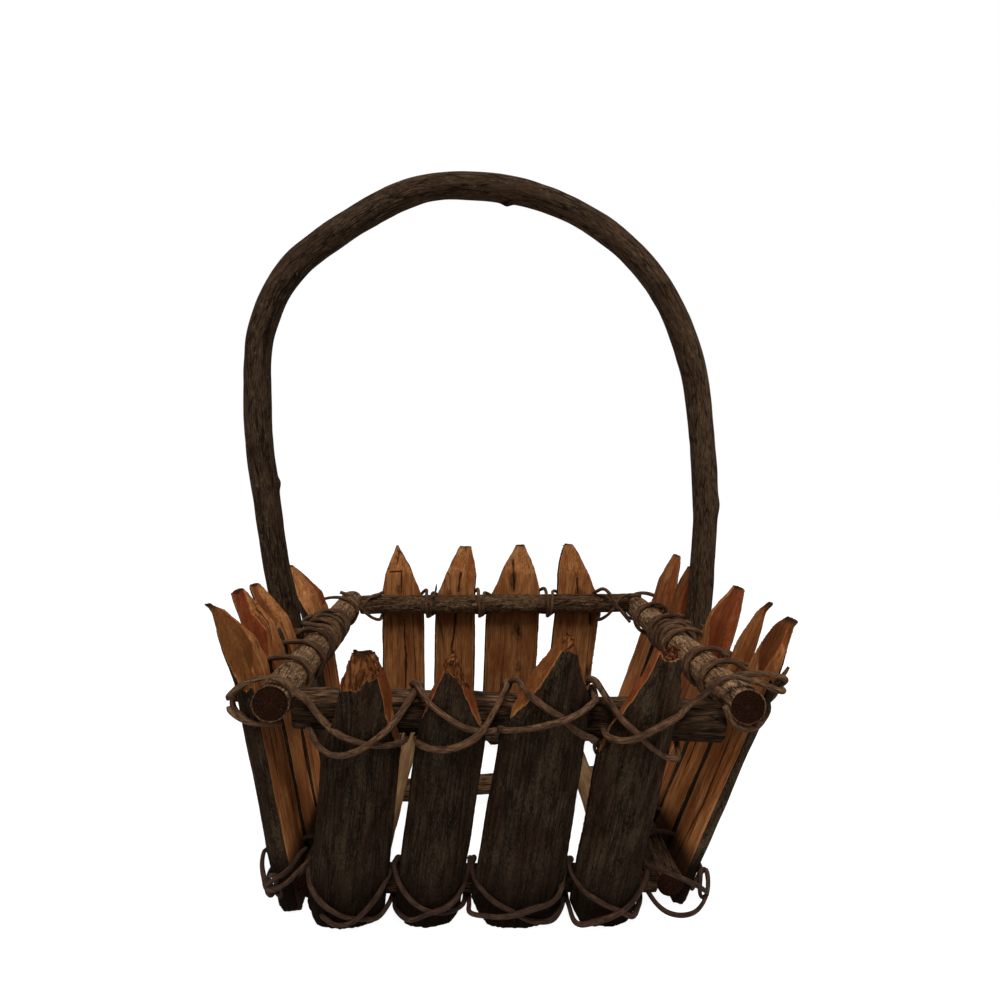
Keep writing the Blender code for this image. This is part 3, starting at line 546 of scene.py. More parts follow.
def finish_piece(piece, slot, material, *nodes):
    """Smooth shading, one material, and the calls that tie the piece to the frame."""
    pick(piece)
    bpy.ops.object.shade_smooth()
    piece.data.materials.clear()
    piece.data.materials.append(material)
    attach(piece, "root")
    if nodes:
        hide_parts(*nodes)


def cloud(name, size, depth=2):
    texture = bpy.data.textures.new(name, "CLOUDS")
    texture.noise_scale = size
    texture.noise_depth = depth
    return texture


WAVES, FURROWS, FIBRES = cloud("waves", 0.016), cloud("furrows", 0.0042), cloud("fibres", 0.0022)


def roughen(piece, matrix, *reliefs):
    """Push the surface in and out by textures, each with its strength and its stretch along the grain.

    An empty steers each texture by its axes, and is removed once it has been used.
    """
    for texture, strength, stretch in reliefs:
        bpy.ops.object.empty_add()
        guide = bpy.context.object
        guide.matrix_world = matrix @ Matrix.Diagonal((1, stretch, 1, 1))
        bpy.context.view_layer.update()
        modify(piece, "DISPLACE", texture=texture, texture_coords="OBJECT", texture_coords_object=guide,
               strength=strength, mid_level=0.5)
        bpy.data.objects.remove(guide)


def in_metres(points):
    return [Vector(point) / 1000 for point in points]


print("helpers ready")

# %% [markdown]
# ## Reading a split branch
# Each node of the frame is a split branch held against its row. Its split face looks into the basket, and
# its sides show how it leans. From these the grain's own axes follow: across, along and outward.

# %% Rows and axes
ROWS = {
    "front": (Vector((1, 0, 0)), Vector((0, -1, 0))),
    "back": (Vector((1, 0, 0)), Vector((0, 1, 0))),
    "left": (Vector((0, 1, 0)), Vector((-1, 0, 0))),
    "right": (Vector((0, 1, 0)), Vector((1, 0, 0))),
}
# Two heights, in metres, between which a branch's lean is measured
LOW_HEIGHT, HIGH_HEIGHT = 0.030, 0.100
# How far a normal leans inward on a split face, and how little it may lean up or down on the bark
SPLIT_TILT, BARK_TILT = -0.8, 0.135


def edges_of(node):
    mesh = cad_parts[node].data
    pairs = np.empty(len(mesh.edges) * 2, dtype=np.int32)
    mesh.edges.foreach_get("vertices", pairs)
    return points_of(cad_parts[node])[pairs.reshape(-1, 2)]


NODE_EDGES = {name: edges_of(name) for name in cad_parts}


def section(node, height):
    """The points where a level plane meets a node's edges."""
    ends = NODE_EDGES[node]
    low, high = ends[:, 0, 2] - height, ends[:, 1, 2] - height
    crossed = low * high < 0
    share = (low / (low - high + 1e-12))[crossed, None]
    return ends[crossed, 0] + (ends[crossed, 1] - ends[crossed, 0]) * share


def picket_axes(node, row):
    """The grain's frame: its origin on the split face at the foot, X across, Y along and Z outward."""
    along, outward = ROWS[row]
    middles = []
    for height in (LOW_HEIGHT, HIGH_HEIGHT):
        cut = section(node, height)
        places = cut @ np.array(along)
        middle = along * float((places.min() + places.max()) / 2)
        middles.append(middle + outward * float((cut @ np.array(outward)).min()) + Vector((0, 0, height)))
    upward = (middles[1] - middles[0]).normalized()
    normal = (outward - upward * upward.dot(outward)).normalized()
    across = upward.cross(normal)
    foot = middles[0] - upward * (middles[0].z / upward.z)
    return Matrix.Translation(foot) @ Matrix((across, upward, normal)).transposed().to_4x4()


def face_trees(node, axes):
    """Search trees of the node's bark and of its split face, told apart by where their normals point."""
    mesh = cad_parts[node].data
    turn = axes.to_3x3().inverted()
    kinds = {"bark": [], "split": []}
    for polygon in mesh.polygons:
        normal = turn @ polygon.normal
        if normal.z < SPLIT_TILT:
            kinds["split"].append(tuple(polygon.vertices))
        elif abs(normal.y) < BARK_TILT:
            kinds["bark"].append(tuple(polygon.vertices))
    corners = [vertex.co.copy() for vertex in mesh.vertices]
    return {kind: BVHTree.FromPolygons(corners, faces) for kind, faces in kinds.items()}


def depth_under(tree, points):
    """How far each point lies behind the plane of the nearest face."""
    depths = np.empty(len(points))
    for index, point in enumerate(points):
        place, normal, _, _ = tree.find_nearest(point)
        depths[index] = (place - Vector(point)).dot(normal)
    return depths


PICKETS = {name: name.split("_")[0] for name in sorted(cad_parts) if "_picket_" in name}
print(len(PICKETS), "pickets")

# %% [markdown]
# ## The split branches
# A copy of the node is merged, given its own torn or hollow tip where the photograph shows one, and remade
# as a fine even skin by a voxel remesh. A little smoothing rounds the knife-sharp edges, and three textures
# push the skin in and out: slow waves, furrows, and fibres, all stretched along the grain.

# %% Split branches
SKIN_VOXEL = 0.0007
# A depth under the bark's surface, in metres, at which no bark is left
NO_BARK = 0.003
# Cracks and knots show only this near to the split face, in metres
FACE_DEPTH = 0.003
# Lightness of each branch, and how red its cut facets are
TONES = {
    "front_picket_1": (0.40, 0.7), "front_picket_2": (0.44, 0.7), "front_picket_3": (0.50, 0.25),
    "front_picket_4": (0.58, 0.8), "back_picket_1": (0.54, 0.8), "back_picket_2": (0.50, 0.8),
    "back_picket_3": (0.46, 0.9), "back_picket_4": (0.52, 0.8), "left_picket_1": (0.52, 0.0),
    "left_picket_2": (0.52, 1.0), "left_picket_3": (0.60, 0.2), "left_picket_4": (0.60, 0.8),
    "right_picket_1": (0.52, 0.4), "right_picket_2": (0.58, 0.4), "right_picket_3": (0.56, 0.85),
    "right_picket_4": (0.56, 1.0), "right_picket_5": (0.62, 0.6),
}
# Long cracks of the split faces: places along the row and heights, in millimetres
CRACKS_MM = {
    "back_picket_1": (((-78.0, 132.4), (-70.7, 133.0)), ((-70.5, 133.0), (-70.1, 117.5)),
                      ((-67.5, 96.0), (-66.1, 80.0), (-64.9, 61.0), (-64.4, 42.0))),
    "back_picket_2": (((-23.7, 133.0), (-24.9, 118.0)), ((-27.0, 104.0), (-28.2, 88.0), (-29.6, 72.0))),
    "back_picket_3": (((18.0, 143.0), (18.2, 118.5)), ((22.6, 90.5), (21.8, 87.4), (23.0, 84.0))),
    "back_picket_4": (((67.9, 130.0), (68.1, 118.0)), ((78.6, 105.0), (79.6, 93.0))),
    "left_picket_2": (((-54.5, 143.0), (-56.9, 139.7), (-55.6, 132.9), (-61.0, 122.5)),),
    "left_picket_1": (((-84.0, 108.0), (-85.0, 70.0)), ((-92.0, 96.0), (-93.0, 50.0))),
    "left_picket_3": (((-36.0, 128.0), (-34.0, 96.0)), ((-30.0, 92.0), (-32.0, 40.0))),
    "left_picket_4": (((44.0, 130.0), (48.0, 112.0)), ((38.0, 96.0), (40.0, 50.0))),
    "right_picket_1": (((-80.0, 128.0), (-82.0, 100.0)), ((-88.0, 92.0), (-86.0, 40.0))),
    "right_picket_2": (((-57.0, 132.0), (-56.0, 98.0)), ((-52.0, 92.0), (-53.0, 40.0))),
    "right_picket_5": (((84.0, 136.0), (85.0, 112.0)),),
}
# Where the bark of the front row is torn off: outlines of places and heights, in millimetres
TORN_MM = {
    "front_picket_1": ((-69.5, 138.0), (-56.5, 138.0), (-57.7, 129.2), (-60.5, 125.0), (-64.1, 123.6),
                       (-65.6, 119.4), (-72.8, 118.8), (-73.0, 125.2), (-74.4, 127.5)),
    "front_picket_2": ((-28.5, 138.0), (-15.0, 138.0), (-14.6, 126.0), (-15.6, 117.0), (-21.5, 123.2),
                       (-24.9, 127.4), (-28.6, 127.8)),
    "front_picket_3": ((24.8, 147.0), (35.5, 147.0), (34.5, 139.6), (31.8, 138.0), (27.6, 140.0),
                       (24.8, 139.6)),
    "front_picket_4": ((70.5, 143.0), (81.0, 143.0), (80.4, 134.6), (73.0, 134.8), (70.9, 136.0)),
}
# The branch whose torn tip is hollow
HOLLOW = "front_picket_4"
# How much less bark covers the cut tips of the front row, in millimetres
TIP_BARK_MM = {"front_picket_1": 0.8, "front_picket_2": 1.6, "front_picket_3": 2.6, "front_picket_4": 5.2}
# How much a blunt tip is widened on each side, in millimetres
WIDEN_MM = {"front_picket_1": 2.3, "front_picket_2": 0.6, "front_picket_3": 0.9, "front_picket_4": 1.2,
            "left_picket_2": 1.8, "left_picket_3": 3.4, "left_picket_4": 1.2, "right_picket_1": 1.6,
            "right_picket_5": 1.4, "right_picket_4": 1.2, "back_picket_2": 0.8, "back_picket_3": 0.6,
            "back_picket_4": 0.9}
# How far the shoulders swell on each side, of a whole row or of one branch, in millimetres
SWELL_MM = {"back": 1.3, "left": 1.2, "right": 1.2, "front_picket_1": 2.5}
# How much paler a front branch is along its right edge
PALE_EDGE = {"front_picket_4": 0.7}
# How much darker a tip's cut facet is than the wood round it
FACET_SHADE = {"left_picket_1": 0.12, "left_picket_2": 0.06, "right_picket_1": 0.20, "right_picket_3": -0.04}
# How much lighter a side branch is made in the shade below the rim
INNER_LIGHT = {"left_picket_1": 0.06}
# Knots: place along the row and height, half width and half height, in millimetres
KNOTS_MM = {
    "back_picket_1": (((-72.0, 119.0), (3.4, 5.0)),),
    "back_picket_2": (((-25.0, 120.0), (3.4, 8.0)), ((-33.0, 116.0), (2.6, 5.0))),
    "back_picket_3": (((22.0, 87.0), (5.5, 8.5)), ((18.2, 127.0), (4.2, 10.0)), ((23.0, 60.0), (3.6, 6.5))),
    "back_picket_4": (((70.5, 117.5), (6.0, 6.0)), ((80.0, 98.0), (3.0, 7.0))),
}
# Outlines of cut facets on the tips of the side rows, in millimetres
FACETS_MM = {
    "right_picket_1": ((-104.0, 153.0), (-101.6, 147.0), (-102.2, 138.6), (-101.6, 131.1), (-95.6, 119.8),
                       (-91.0, 119.8), (-86.6, 129.0), (-86.8, 137.0), (-91.0, 144.0), (-97.0, 153.0)),
    "right_picket_3": ((-27.7, 153.0), (-44.0, 153.0), (-46.0, 106.0), (-24.0, 106.0), (-21.5, 118.0),
                       (-16.5, 126.5), (-17.7, 134.1), (-22.6, 143.8)),
    "left_picket_1": ((-90.0, 152.0), (-91.4, 146.9), (-88.6, 142.3), (-87.4, 137.6), (-88.2, 129.0),
                      (-92.0, 124.0), (-101.0, 119.0), (-103.0, 112.0), (-120.0, 112.0), (-120.0, 152.0)),
    "left_picket_2": ((-56.0, 153.0), (-57.9, 146.9), (-63.4, 140.2), (-63.8, 129.7), (-66.8, 123.6),
                      (-72.0, 113.0), (-95.0, 113.0), (-95.0, 153.0)),
    "left_picket_4": ((46.0, 153.0), (51.3, 143.2), (54.0, 135.7), (53.0, 124.0), (56.0, 117.0),
                      (75.0, 117.0), (75.0, 153.0)),
}
# Above these heights, in millimetres, no bark is left
BARE_MM = {"right_picket_2": 98.0}
# How much less bark covers the front side of a branch, in metres, so that the bark comes round its edge
ROUND_BARK = {"right_picket_1": 0.012}
# Tips that hook over: the height where the hook begins and how far it reaches, in millimetres
HOOKS_MM = {"left_picket_1": (145.0, (-2.6, -0.8, 0.4)), "right_picket_2": (144.0, (2.2, -2.0, 1.6)),
            "right_picket_1": (143.5, (2.4, 0.0, -0.6)), "left_picket_3": (122.0, (0.0, -1.4, 0.0))}
# How far down a tip its dark stain reaches, in millimetres
TIP_STAIN_MM = {"left_picket_1": 3.4, "right_picket_2": 4.5, "right_picket_1": 3.2, "right_picket_3": 1.8}
USUAL_STAIN_MM = 1.3


def step_up(values, low, high):
    """0 up to low, 1 from high, and a smooth rise between them."""
    share = np.clip((values - low) / (high - low), 0, 1)
    return share * share * (3 - 2 * share)


def step_down(values, low, high):
    return 1 - step_up(values, low, high)


def line_distance(points, line):
    """Distance of 2-D points from a broken line."""
    nearest = np.full(len(points), 1.0)
    for start, end in zip(np.array(line), np.array(line)[1:]):
        along = end - start
        share = np.clip((points - start) @ along / (along @ along), 0, 1)
        nearest = np.minimum(nearest, np.linalg.norm(points - start - share[:, None] * along, axis=1))
    return nearest


def inside_outline(points, outline):
    """Whether 2-D points lie inside an outline, counted by crossings."""
    inside = np.zeros(len(points), bool)
    outline = np.array(outline)
    for start, end in zip(outline, np.roll(outline, -1, axis=0)):
        spans = (start[1] > points[:, 1]) != (end[1] > points[:, 1])
        rise = end[1] - start[1] if abs(end[1] - start[1]) > 1e-9 else 1e-9
        crossing = start[0] + (points[:, 1] - start[1]) / rise * (end[0] - start[0])
        inside ^= spans & (points[:, 0] < crossing)
    return inside


def widen_tip(node, row, points):
    """Spread a tip along its row, and swell the shoulders below it."""
    along = np.array(ROWS[row][0])
    below = points[:, 2].max() - points[:, 2]
    place = points @ along
    tip = place[below < 0.002].mean()
    shoulder = place[(below > 0.018) & (below < 0.024)].mean()
    side = place - np.interp(below, (0, 0.02), (tip, shoulder))
    wide = WIDEN_MM.get(node, 0) / 1000 * step_down(below, 0.002, 0.018) * np.tanh(side / 0.0015)
    swell = SWELL_MM.get(node, SWELL_MM.get(row, 0)) / 1000 * step_up(below, 0.002, 0.014)
    swell = swell * step_down(below, 0.016, 0.034) * np.tanh(side / 0.006)
    return points + (wide + swell)[:, None] * along


def streak_noise(grain, across, along, seed):
    """Noise that runs with the grain, one value to a point, about -1 to 1."""
    return np.array([noise.noise(Vector((x * across + seed, y * along, z * across))) for x, y, z in grain])


def even_skin(node, name):
    """A node's copy with its corners merged, remade as a fine even skin with its sharp edges eased."""
    piece = bpy.data.objects.new(name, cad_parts[node].data.copy())
    bpy.context.scene.collection.objects.link(piece)
    pick(piece)
    bpy.ops.object.mode_set(mode="EDIT")
    bpy.ops.mesh.select_all(action="SELECT")
    bpy.ops.mesh.remove_doubles(threshold=1e-6)
    bpy.ops.mesh.normals_make_consistent(inside=False)
    bpy.ops.object.mode_set(mode="OBJECT")
    modify(piece, "REMESH", mode="VOXEL", voxel_size=SKIN_VOXEL)
    modify(piece, "SMOOTH", factor=0.5, iterations=3)
    return piece


def grain_of(piece, axes):
    turn = np.array(axes.inverted())
    return points_of(piece) @ turn[:3, :3].T + turn[:3, 3]


def marks_of(node, row, points, grain, split_depth):
    """Cracks, torn bark, hollow and stain of a split branch, each 0 to 1 at every point."""
    flat = np.stack([points @ np.array(ROWS[row][0]), points[:, 2]], axis=1)
    wander = streak_noise(grain, 260.0, 60.0, 5.0)
    on_face = split_depth < FACE_DEPTH
    moved = flat + np.stack([wander * 0.0008, np.zeros(len(points))], axis=1)
    crack = np.zeros(len(points))
    for line in CRACKS_MM.get(node, ()):
        line = np.array(line) / 1000
        middle = (line[0] + line[-1]) / 2
        reach = np.linalg.norm(line[0] - line[-1]) / 2 + 0.001
        middle_part = step_down(np.abs(flat[:, 1] - middle[1]), reach * 0.55, reach)
        near_line = step_down(line_distance(moved, line), 0.0002, 0.0010)
        crack = np.maximum(crack, near_line * (0.62 + 0.38 * middle_part))
    torn = np.zeros(len(points))
    if node in TORN_MM:
        moved = flat + np.stack([wander * 0.0007, np.abs(wander) * 0.0035], axis=1)
        torn = inside_outline(moved, np.array(TORN_MM[node]) / 1000).astype(float)
    below = points[:, 2].max() - points[:, 2] + wander * 0.0005
    stain = step_down(below, 0.0004, TIP_STAIN_MM.get(node, USUAL_STAIN_MM) / 1000)
    speck = streak_noise(grain, 700.0, 420.0, 9.0)
    for centre, halves in KNOTS_MM.get(node, ()):
        reach = np.linalg.norm((flat * 1000 - centre) / halves, axis=1) + 0.4 * wander
        blot = (0.66 + 0.6 * speck) * step_down(reach, 0.35, 1.1)
        stain = np.maximum(stain, blot * on_face)
    hollow = torn if node == HOLLOW else np.zeros(len(points))
    return crack * on_face, torn, hollow, stain


def facet_of(node, along, points, normals, bark_depth):
    """A tip's cut facet and the facet's pale rim, 0 to 1 at every point, and the bark depth with it cut."""
    if node not in FACETS_MM:
        facet = step_up(np.abs(normals @ along), 0.35, 0.6) * step_up(points[:, 2], 0.100, 0.112)
        return facet, np.zeros(len(points)), bark_depth
    flat = np.stack([points @ along, points[:, 2]], axis=1)
    outline = np.array(FACETS_MM[node]) / 1000
    facet = inside_outline(flat, outline) * (bark_depth > 0.0006)
    bark_depth = np.maximum(bark_depth, NO_BARK * facet)
    rim = step_down(line_distance(flat, [*outline, outline[0]]), 0.0003, 0.0012) * (bark_depth > 0.0015)
    return facet, rim, bark_depth


def tone_of(node, row, points, centre, normals, facet, rim, stain):
    """Lightness, facet redness and dark stain of a split branch at every point, with painted light and shade.
    """
    along, height = np.array(ROWS[row][0]), points[:, 2]
    light, red = TONES[node]
    lightness = light + 0.34 * rim - FACET_SHADE.get(node, 0) * facet * (1 - rim)
    if row == "front":
        lightness += PALE_EDGE.get(node, 0) * step_up(points @ along - centre, 0.011, 0.014)
        # Painted shade: a front branch darkens towards its foot and on its sides that turn away, laid into
        # the stain
        foot = 0.95 * step_down(height, 0.006, 0.038)
        painted_flank_shade = 0.5 * step_up(np.abs(normals @ along), 0.55, 0.95) * (height < 0.100)
        stain = np.maximum(stain, np.maximum(foot, painted_flank_shade))
    elif row == "back":
        # Painted shade: the back row's wood is darker below the rim, inside the basket
        lightness -= 0.30 * step_down(height, 0.092, 0.122)
    else:
        # Painted light: a side branch's wood is lightened in the shade below the rim
        lightness += INNER_LIGHT.get(node, 0.50) * step_down(height, 0.085, 0.108)
        # Painted shade: a side branch darkens towards its foot, near the base frame, laid into the stain
        stain = np.maximum(stain, 1.1 * step_down(height, 0.020, 0.034))
    return np.stack([lightness, np.full(len(points), red), stain], axis=1)


def shape_tip(node, row, points):
    """Widen a tip, and bend it over where it hooks."""
    points = widen_tip(node, row, points)
    if node in HOOKS_MM:
        start, reach = HOOKS_MM[node]
        share = step_up(points[:, 2], start / 1000, points[:, 2].max())[:, None] ** 1.5
        points += share * np.array(reach) / 1000
    return points


def shape_picket(node, row, number):
    along = np.array(ROWS[row][0])
    axes = picket_axes(node, row)
    trees = face_trees(node, axes)
    piece = even_skin(node, node.replace("picket", "split_branch"))
    before, normals, grain = points_of(piece), normals_of(piece), grain_of(piece, axes)
    height = before[:, 2]
    bark_depth = np.maximum(depth_under(trees["bark"], before), 0)
    split_depth = np.maximum(depth_under(trees["split"], before), 0)
    crack, torn, hollow, stain = marks_of(node, row, before, grain, split_depth)
    facet, rim, bark_depth = facet_of(node, along, before, normals, bark_depth)
    bark_depth += NO_BARK * (height > BARE_MM.get(node, math.inf) / 1000)
    bark_depth -= ROUND_BARK.get(node, 0) * step_up(-(normals @ along), 0.3, 0.55) * (height < 0.112)
    bark_depth -= TIP_BARK_MM.get(node, 0) / 1000 * step_up(height, 0.088, 0.100)
    fibres = streak_noise(grain, 900.0, 130.0, 1.0)
    inward = torn * (0.0007 + 0.0010 * fibres) + hollow * 0.0012 + crack * 0.0005
    points = shape_tip(node, row, before - normals * inward[:, None])
    set_points(piece, points)
    tone = tone_of(node, row, points, before[:, 0].mean(), normals, facet, rim, stain)
    store(piece, "facet", "FLOAT", facet)
    store(piece, "bark_depth", "FLOAT", np.maximum(bark_depth, torn * NO_BARK))
    store(piece, "grain", "FLOAT_VECTOR", grain + np.array((0.1, 0.37, 0.05)) * number)
    store(piece, "mark", "FLOAT_VECTOR", np.stack([crack, torn, hollow], axis=1))
    store(piece, "tone", "FLOAT_VECTOR", tone)
    roughen(piece, axes @ Matrix.Translation((0.1 * number, 0.37 * number, 0)),
            (WAVES, 0.0016, 3.0), (FURROWS, 0.0010, 9.0), (FIBRES, 0.0006, 12.0))
    points = points_of(piece)
    points[:, 2] = np.maximum(points[:, 2], 0.0)
    set_points(piece, points)
    finish_piece(piece, "bark", SPLIT_BRANCH, node)
    return len(piece.data.polygons)


total = sum(shape_picket(node, row, number) for number, (node, row) in enumerate(PICKETS.items()))
print("pickets:", total, "faces")

# %% [markdown]
# ## The round branches of the frames
# A rail is a cylinder at the node's own place and size, cut into short rings by subdivide, with its ends
# inset so that the end grain has points of its own. The rails were sawn square, so the rim of each end
# stays crisp and only a little rough.

# %% Rails
RAIL_SIDES = 56
RAIL_RING = 0.0013
# Subdivide makes no more cuts than this at once
MOST_CUTS = 100
# How far an end's first inset reaches, and the others, against even steps
FIRST_INSET, NEXT_INSETS = 0.35, 1.08
SMOOTH_RAILS = ("rim_left_rail", "rim_right_rail", "rim_back_rail")
# Lightness of each rail: its own tone, and painted light that makes the right rim rail lighter than the left
RAIL_TONE_AND_PAINTED_LIGHT = {"rim_right_rail": 1.1, "rim_back_rail": 0.26, "rim_left_rail": 0.74, "rim_front_rail": 0.0,
                  "base_left_rail": 0.3, "base_right_rail": 0.1, "base_front_rail": 0.2}
# Painted light: how much paler the crest of a rail is made than its sides, as if lit from above
RAIL_CREST_PAINTED_LIGHT = {"rim_front_rail": 0.50}


def rail_line(node):
    """A rail's ends on its centre line, and its radius."""
    points = np.unique(points_of(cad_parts[node]).round(6), axis=0)
    low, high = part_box(node)
    axis = 0 if high.x - low.x > high.y - low.y else 1
    start, end = (Vector(points[np.abs(points[:, axis] - limit) < 2e-5].mean(axis=0))
                  for limit in (low[axis], high[axis]))
    line = (end - start).normalized()
    offsets = [Vector(point) - start for point in points]
    return start, end, max((offset - line * offset.dot(line)).length for offset in offsets)


def along_matrix(start, end):
    """A frame whose Y runs from start to end."""
    line = (end - start).normalized()
    side = Vector((0, 0, 1)).cross(line).normalized() if abs(line.z) < 0.9 else Vector((1, 0, 0))
    return Matrix.Translation(start) @ Matrix((side, line, side.cross(line))).transposed().to_4x4()


def select_where(piece, test, kind="FACE"):
    """Select the faces or edges of a piece in edit mode for which test gives true."""
    bpy.ops.mesh.select_all(action="DESELECT")
    bpy.ops.mesh.select_mode(type=kind)
    mesh = bmesh.from_edit_mesh(piece.data)
    parts = mesh.faces if kind == "FACE" else mesh.edges
    for part in parts:
        part.select_set(test(part))
    bmesh.update_edit_mesh(piece.data)


def longer_than(length):
    """A test for edges that run further than this along Y."""
    return lambda edge: abs((edge.verts[0].co - edge.verts[1].co).y) > length


def round_stick(name, length, radius, sides, ring, cap_insets=5):
    """A finely divided cylinder along Y, from 0 to its length."""
    bpy.ops.object.select_all(action="DESELECT")
    bpy.ops.mesh.primitive_cylinder_add(vertices=sides, radius=radius, depth=length,
                                        location=(0, length / 2, 0), rotation=(math.pi / 2, 0, 0))
    piece = bpy.context.object
    piece.name = name
    bpy.ops.object.transform_apply(location=True, rotation=True, scale=True)
    bpy.ops.object.mode_set(mode="EDIT")
    select_where(piece, longer_than(length / 2), "EDGE")
    first = max(2, math.ceil(length / ring / MOST_CUTS))
    bpy.ops.mesh.subdivide(number_cuts=first - 1)
    select_where(piece, longer_than(length / first / 2), "EDGE")
    bpy.ops.mesh.subdivide(number_cuts=max(1, round(length / first / ring) - 1))
    select_where(piece, lambda face: len(face.verts) > 4)
    for step in range(cap_insets):
        depth = FIRST_INSET if step == 0 else NEXT_INSETS
        bpy.ops.mesh.inset(thickness=radius / (cap_insets + 1) * depth)
    bpy.ops.mesh.quads_convert_to_tris()
    bpy.ops.mesh.select_all(action="DESELECT")
    bpy.ops.object.mode_set(mode="OBJECT")
    return piece


def mark_ends(piece, length, radius, seed):
    points = points_of(piece)
    ends = (points[:, 1] < 1e-5) | (points[:, 1] > length - 1e-5)
    inner = np.hypot(points[:, 0], points[:, 2]) < radius * 0.999
    store(piece, "end_grain", "FLOAT", (ends & inner).astype(float))
    store(piece, "branch_radius", "FLOAT", np.full(len(points), radius))
    store(piece, "grain", "FLOAT_VECTOR", points + np.array((0, seed * 1.7, 0)))


def shape_rail(node, number):
    start, end, radius = rail_line(node)
    length = (end - start).length
    name = node.replace("rail", "branch").replace("stick", "branch")
    piece = round_stick(name, length, radius, RAIL_SIDES, RAIL_RING)
    mark_ends(piece, length, radius, number)
    roughen(piece, Matrix.Translation((number * 0.3, number * 0.7, 0)),
            (WAVES, 0.0018, 2.0), (FURROWS, 0.0009, 5.0), (FIBRES, 0.0006, 6.0))
    piece.data.transform(along_matrix(start, end))
    # Painted light: a rail's crest, its top, is made paler as if lit from above
    above = (points_of(piece)[:, 2] - (start.z + end.z) / 2) / radius
    lightness = RAIL_TONE_AND_PAINTED_LIGHT.get(node, 0.5) + RAIL_CREST_PAINTED_LIGHT.get(node, 0) * step_up(above, 0.62, 0.98)
    store(piece, "lightness", "FLOAT", lightness)
    finish_piece(piece, "rail_bark", RAIL_BARK if node in SMOOTH_RAILS else ROUGH_BARK, node)


RAILS = [name for name in sorted(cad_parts) if name.endswith(("_rail", "_stick"))]
for number, node in enumerate(RAILS):
    shape_rail(node, number)
print(len(RAILS), "round branches")

# %% [markdown]
# ## Floor slats
# The floor is split sticks laid over the base frame. Each is remade from its node as the split branches are.

# %% Floor slats
SLATS = [name for name in sorted(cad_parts) if name.startswith("floor_slat")]
SLAT_TONE = (0.50, 0.15, 0.0)


def slat_ends(node):
    """The middles of a slat's front and back ends."""
    points = points_of(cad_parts[node])
    front = points[points[:, 1] < points[:, 1].min() + 0.002].mean(axis=0)
    back = points[points[:, 1] > points[:, 1].max() - 0.002].mean(axis=0)
    return Vector(front), Vector(back)


def shape_slat(node, number):
    """A slat has no bark, no facets and no marks."""
    piece = even_skin(node, node.replace("slat", "split_stick"))
    axes = along_matrix(*slat_ends(node))
    roughen(piece, axes @ Matrix.Translation((0.2 * number, 0.9 * number, 0)),
            (WAVES, 0.0012, 3.0), (FURROWS, 0.0009, 8.0))
    count = len(piece.data.vertices)
    store(piece, "grain", "FLOAT_VECTOR", grain_of(piece, axes) + 3.0 + number)
    store(piece, "bark_depth", "FLOAT", np.full(count, NO_BARK + 0.001))
    store(piece, "facet", "FLOAT", np.zeros(count))
    store(piece, "mark", "FLOAT_VECTOR", np.zeros((count, 3)))
    store(piece, "tone", "FLOAT_VECTOR", np.tile(SLAT_TONE, (count, 1)))
    finish_piece(piece, "split_wood", SPLIT_SLAT, node)


for number, node in enumerate(SLATS):
    shape_slat(node, number)
print(len(SLATS), "slats")

# %% [markdown]
# ## The handle
# One long branch, bent while green. It is made straight, with its knots and its bark, and then bent by a
# Curve modifier along the route that its legs and its arch follow. Its grain is stored while it is still
# straight, so the bark's furrows follow the bend.

# %% Handle
HANDLE_ROUTE_MM = (
    (-106.6, -5.7, 6.0), (-107.9, -5.7, 13.5), (-116.7, -5.7, 61.0), (-125.4, -5.7, 108.5),
    (-128.0, -5.7, 122.5), (-134.0, -6.6, 156.0), (-138.1, -7.0, 183.4), (-143.5, -7.5, 224.5),
    (-145.3, -7.7, 253.8), (-145.1, -7.7, 276.1), (-144.0, -7.6, 289.6), (-140.9, -7.3, 301.6),
    (-135.2, -6.7, 316.4), (-125.7, -5.7, 331.5), (-112.5, -4.4, 344.9), (-94.4, -2.6, 359.4),
    (-82.0, -1.3, 368.1), (-68.1, 0.1, 376.2), (-46.9, 2.2, 384.5), (-24.7, 4.4, 387.6),
    (-1.4, 6.8, 387.9), (23.1, 9.2, 384.0), (45.6, 11.5, 376.2), (62.7, 13.2, 367.5),
    (80.5, 15.0, 354.4), (97.5, 16.7, 337.0), (113.0, 18.3, 312.5), (124.4, 19.4, 282.6),
    (131.9, 20.2, 242.6), (136.3, 20.6, 198.5), (136.5, 20.7, 158.5), (132.9, 20.3, 108.5),
    (117.1, 20.3, 61.0), (101.4, 20.3, 13.5), (98.9, 20.3, 6.0),
)
HANDLE_RADIUS = 0.0080
HANDLE_SIDES = 48
HANDLE_RING, HANDLE_STEP = 0.0015, 0.002
# Knots of the handle: a place on its bark, a radius and a height, in millimetres
HANDLE_KNOTS_MM = (
    ((-145.9, -15.7, 224.8), 4.0, 1.0), ((-133.8, -7.5, 205.4), 3.6, 1.7), ((-121.5, -12.0, 325.0), 5.0, 1.0),
    ((-77.0, -6.0, 361.5), 4.5, 1.2), ((0.7, 6.8, 379.4), 3.4, 2.3), ((123.0, 17.0, 240.0), 3.4, 2.1),
    ((144.5, 19.0, 196.0), 6.0, 1.1), ((101.0, 9.0, 334.0), 3.4, 0.9),
)
# Dark spots of its bark: a place and a radius, in millimetres
HANDLE_SPOTS_MM = (((-146.2, -15.7, 224.8), 3.6), ((101.0, 9.0, 334.0), 3.0), ((0.7, 6.8, 379.4), 3.2),
                   ((123.0, 17.0, 240.0), 3.0), ((-122.0, -12.0, 325.0), 3.0))


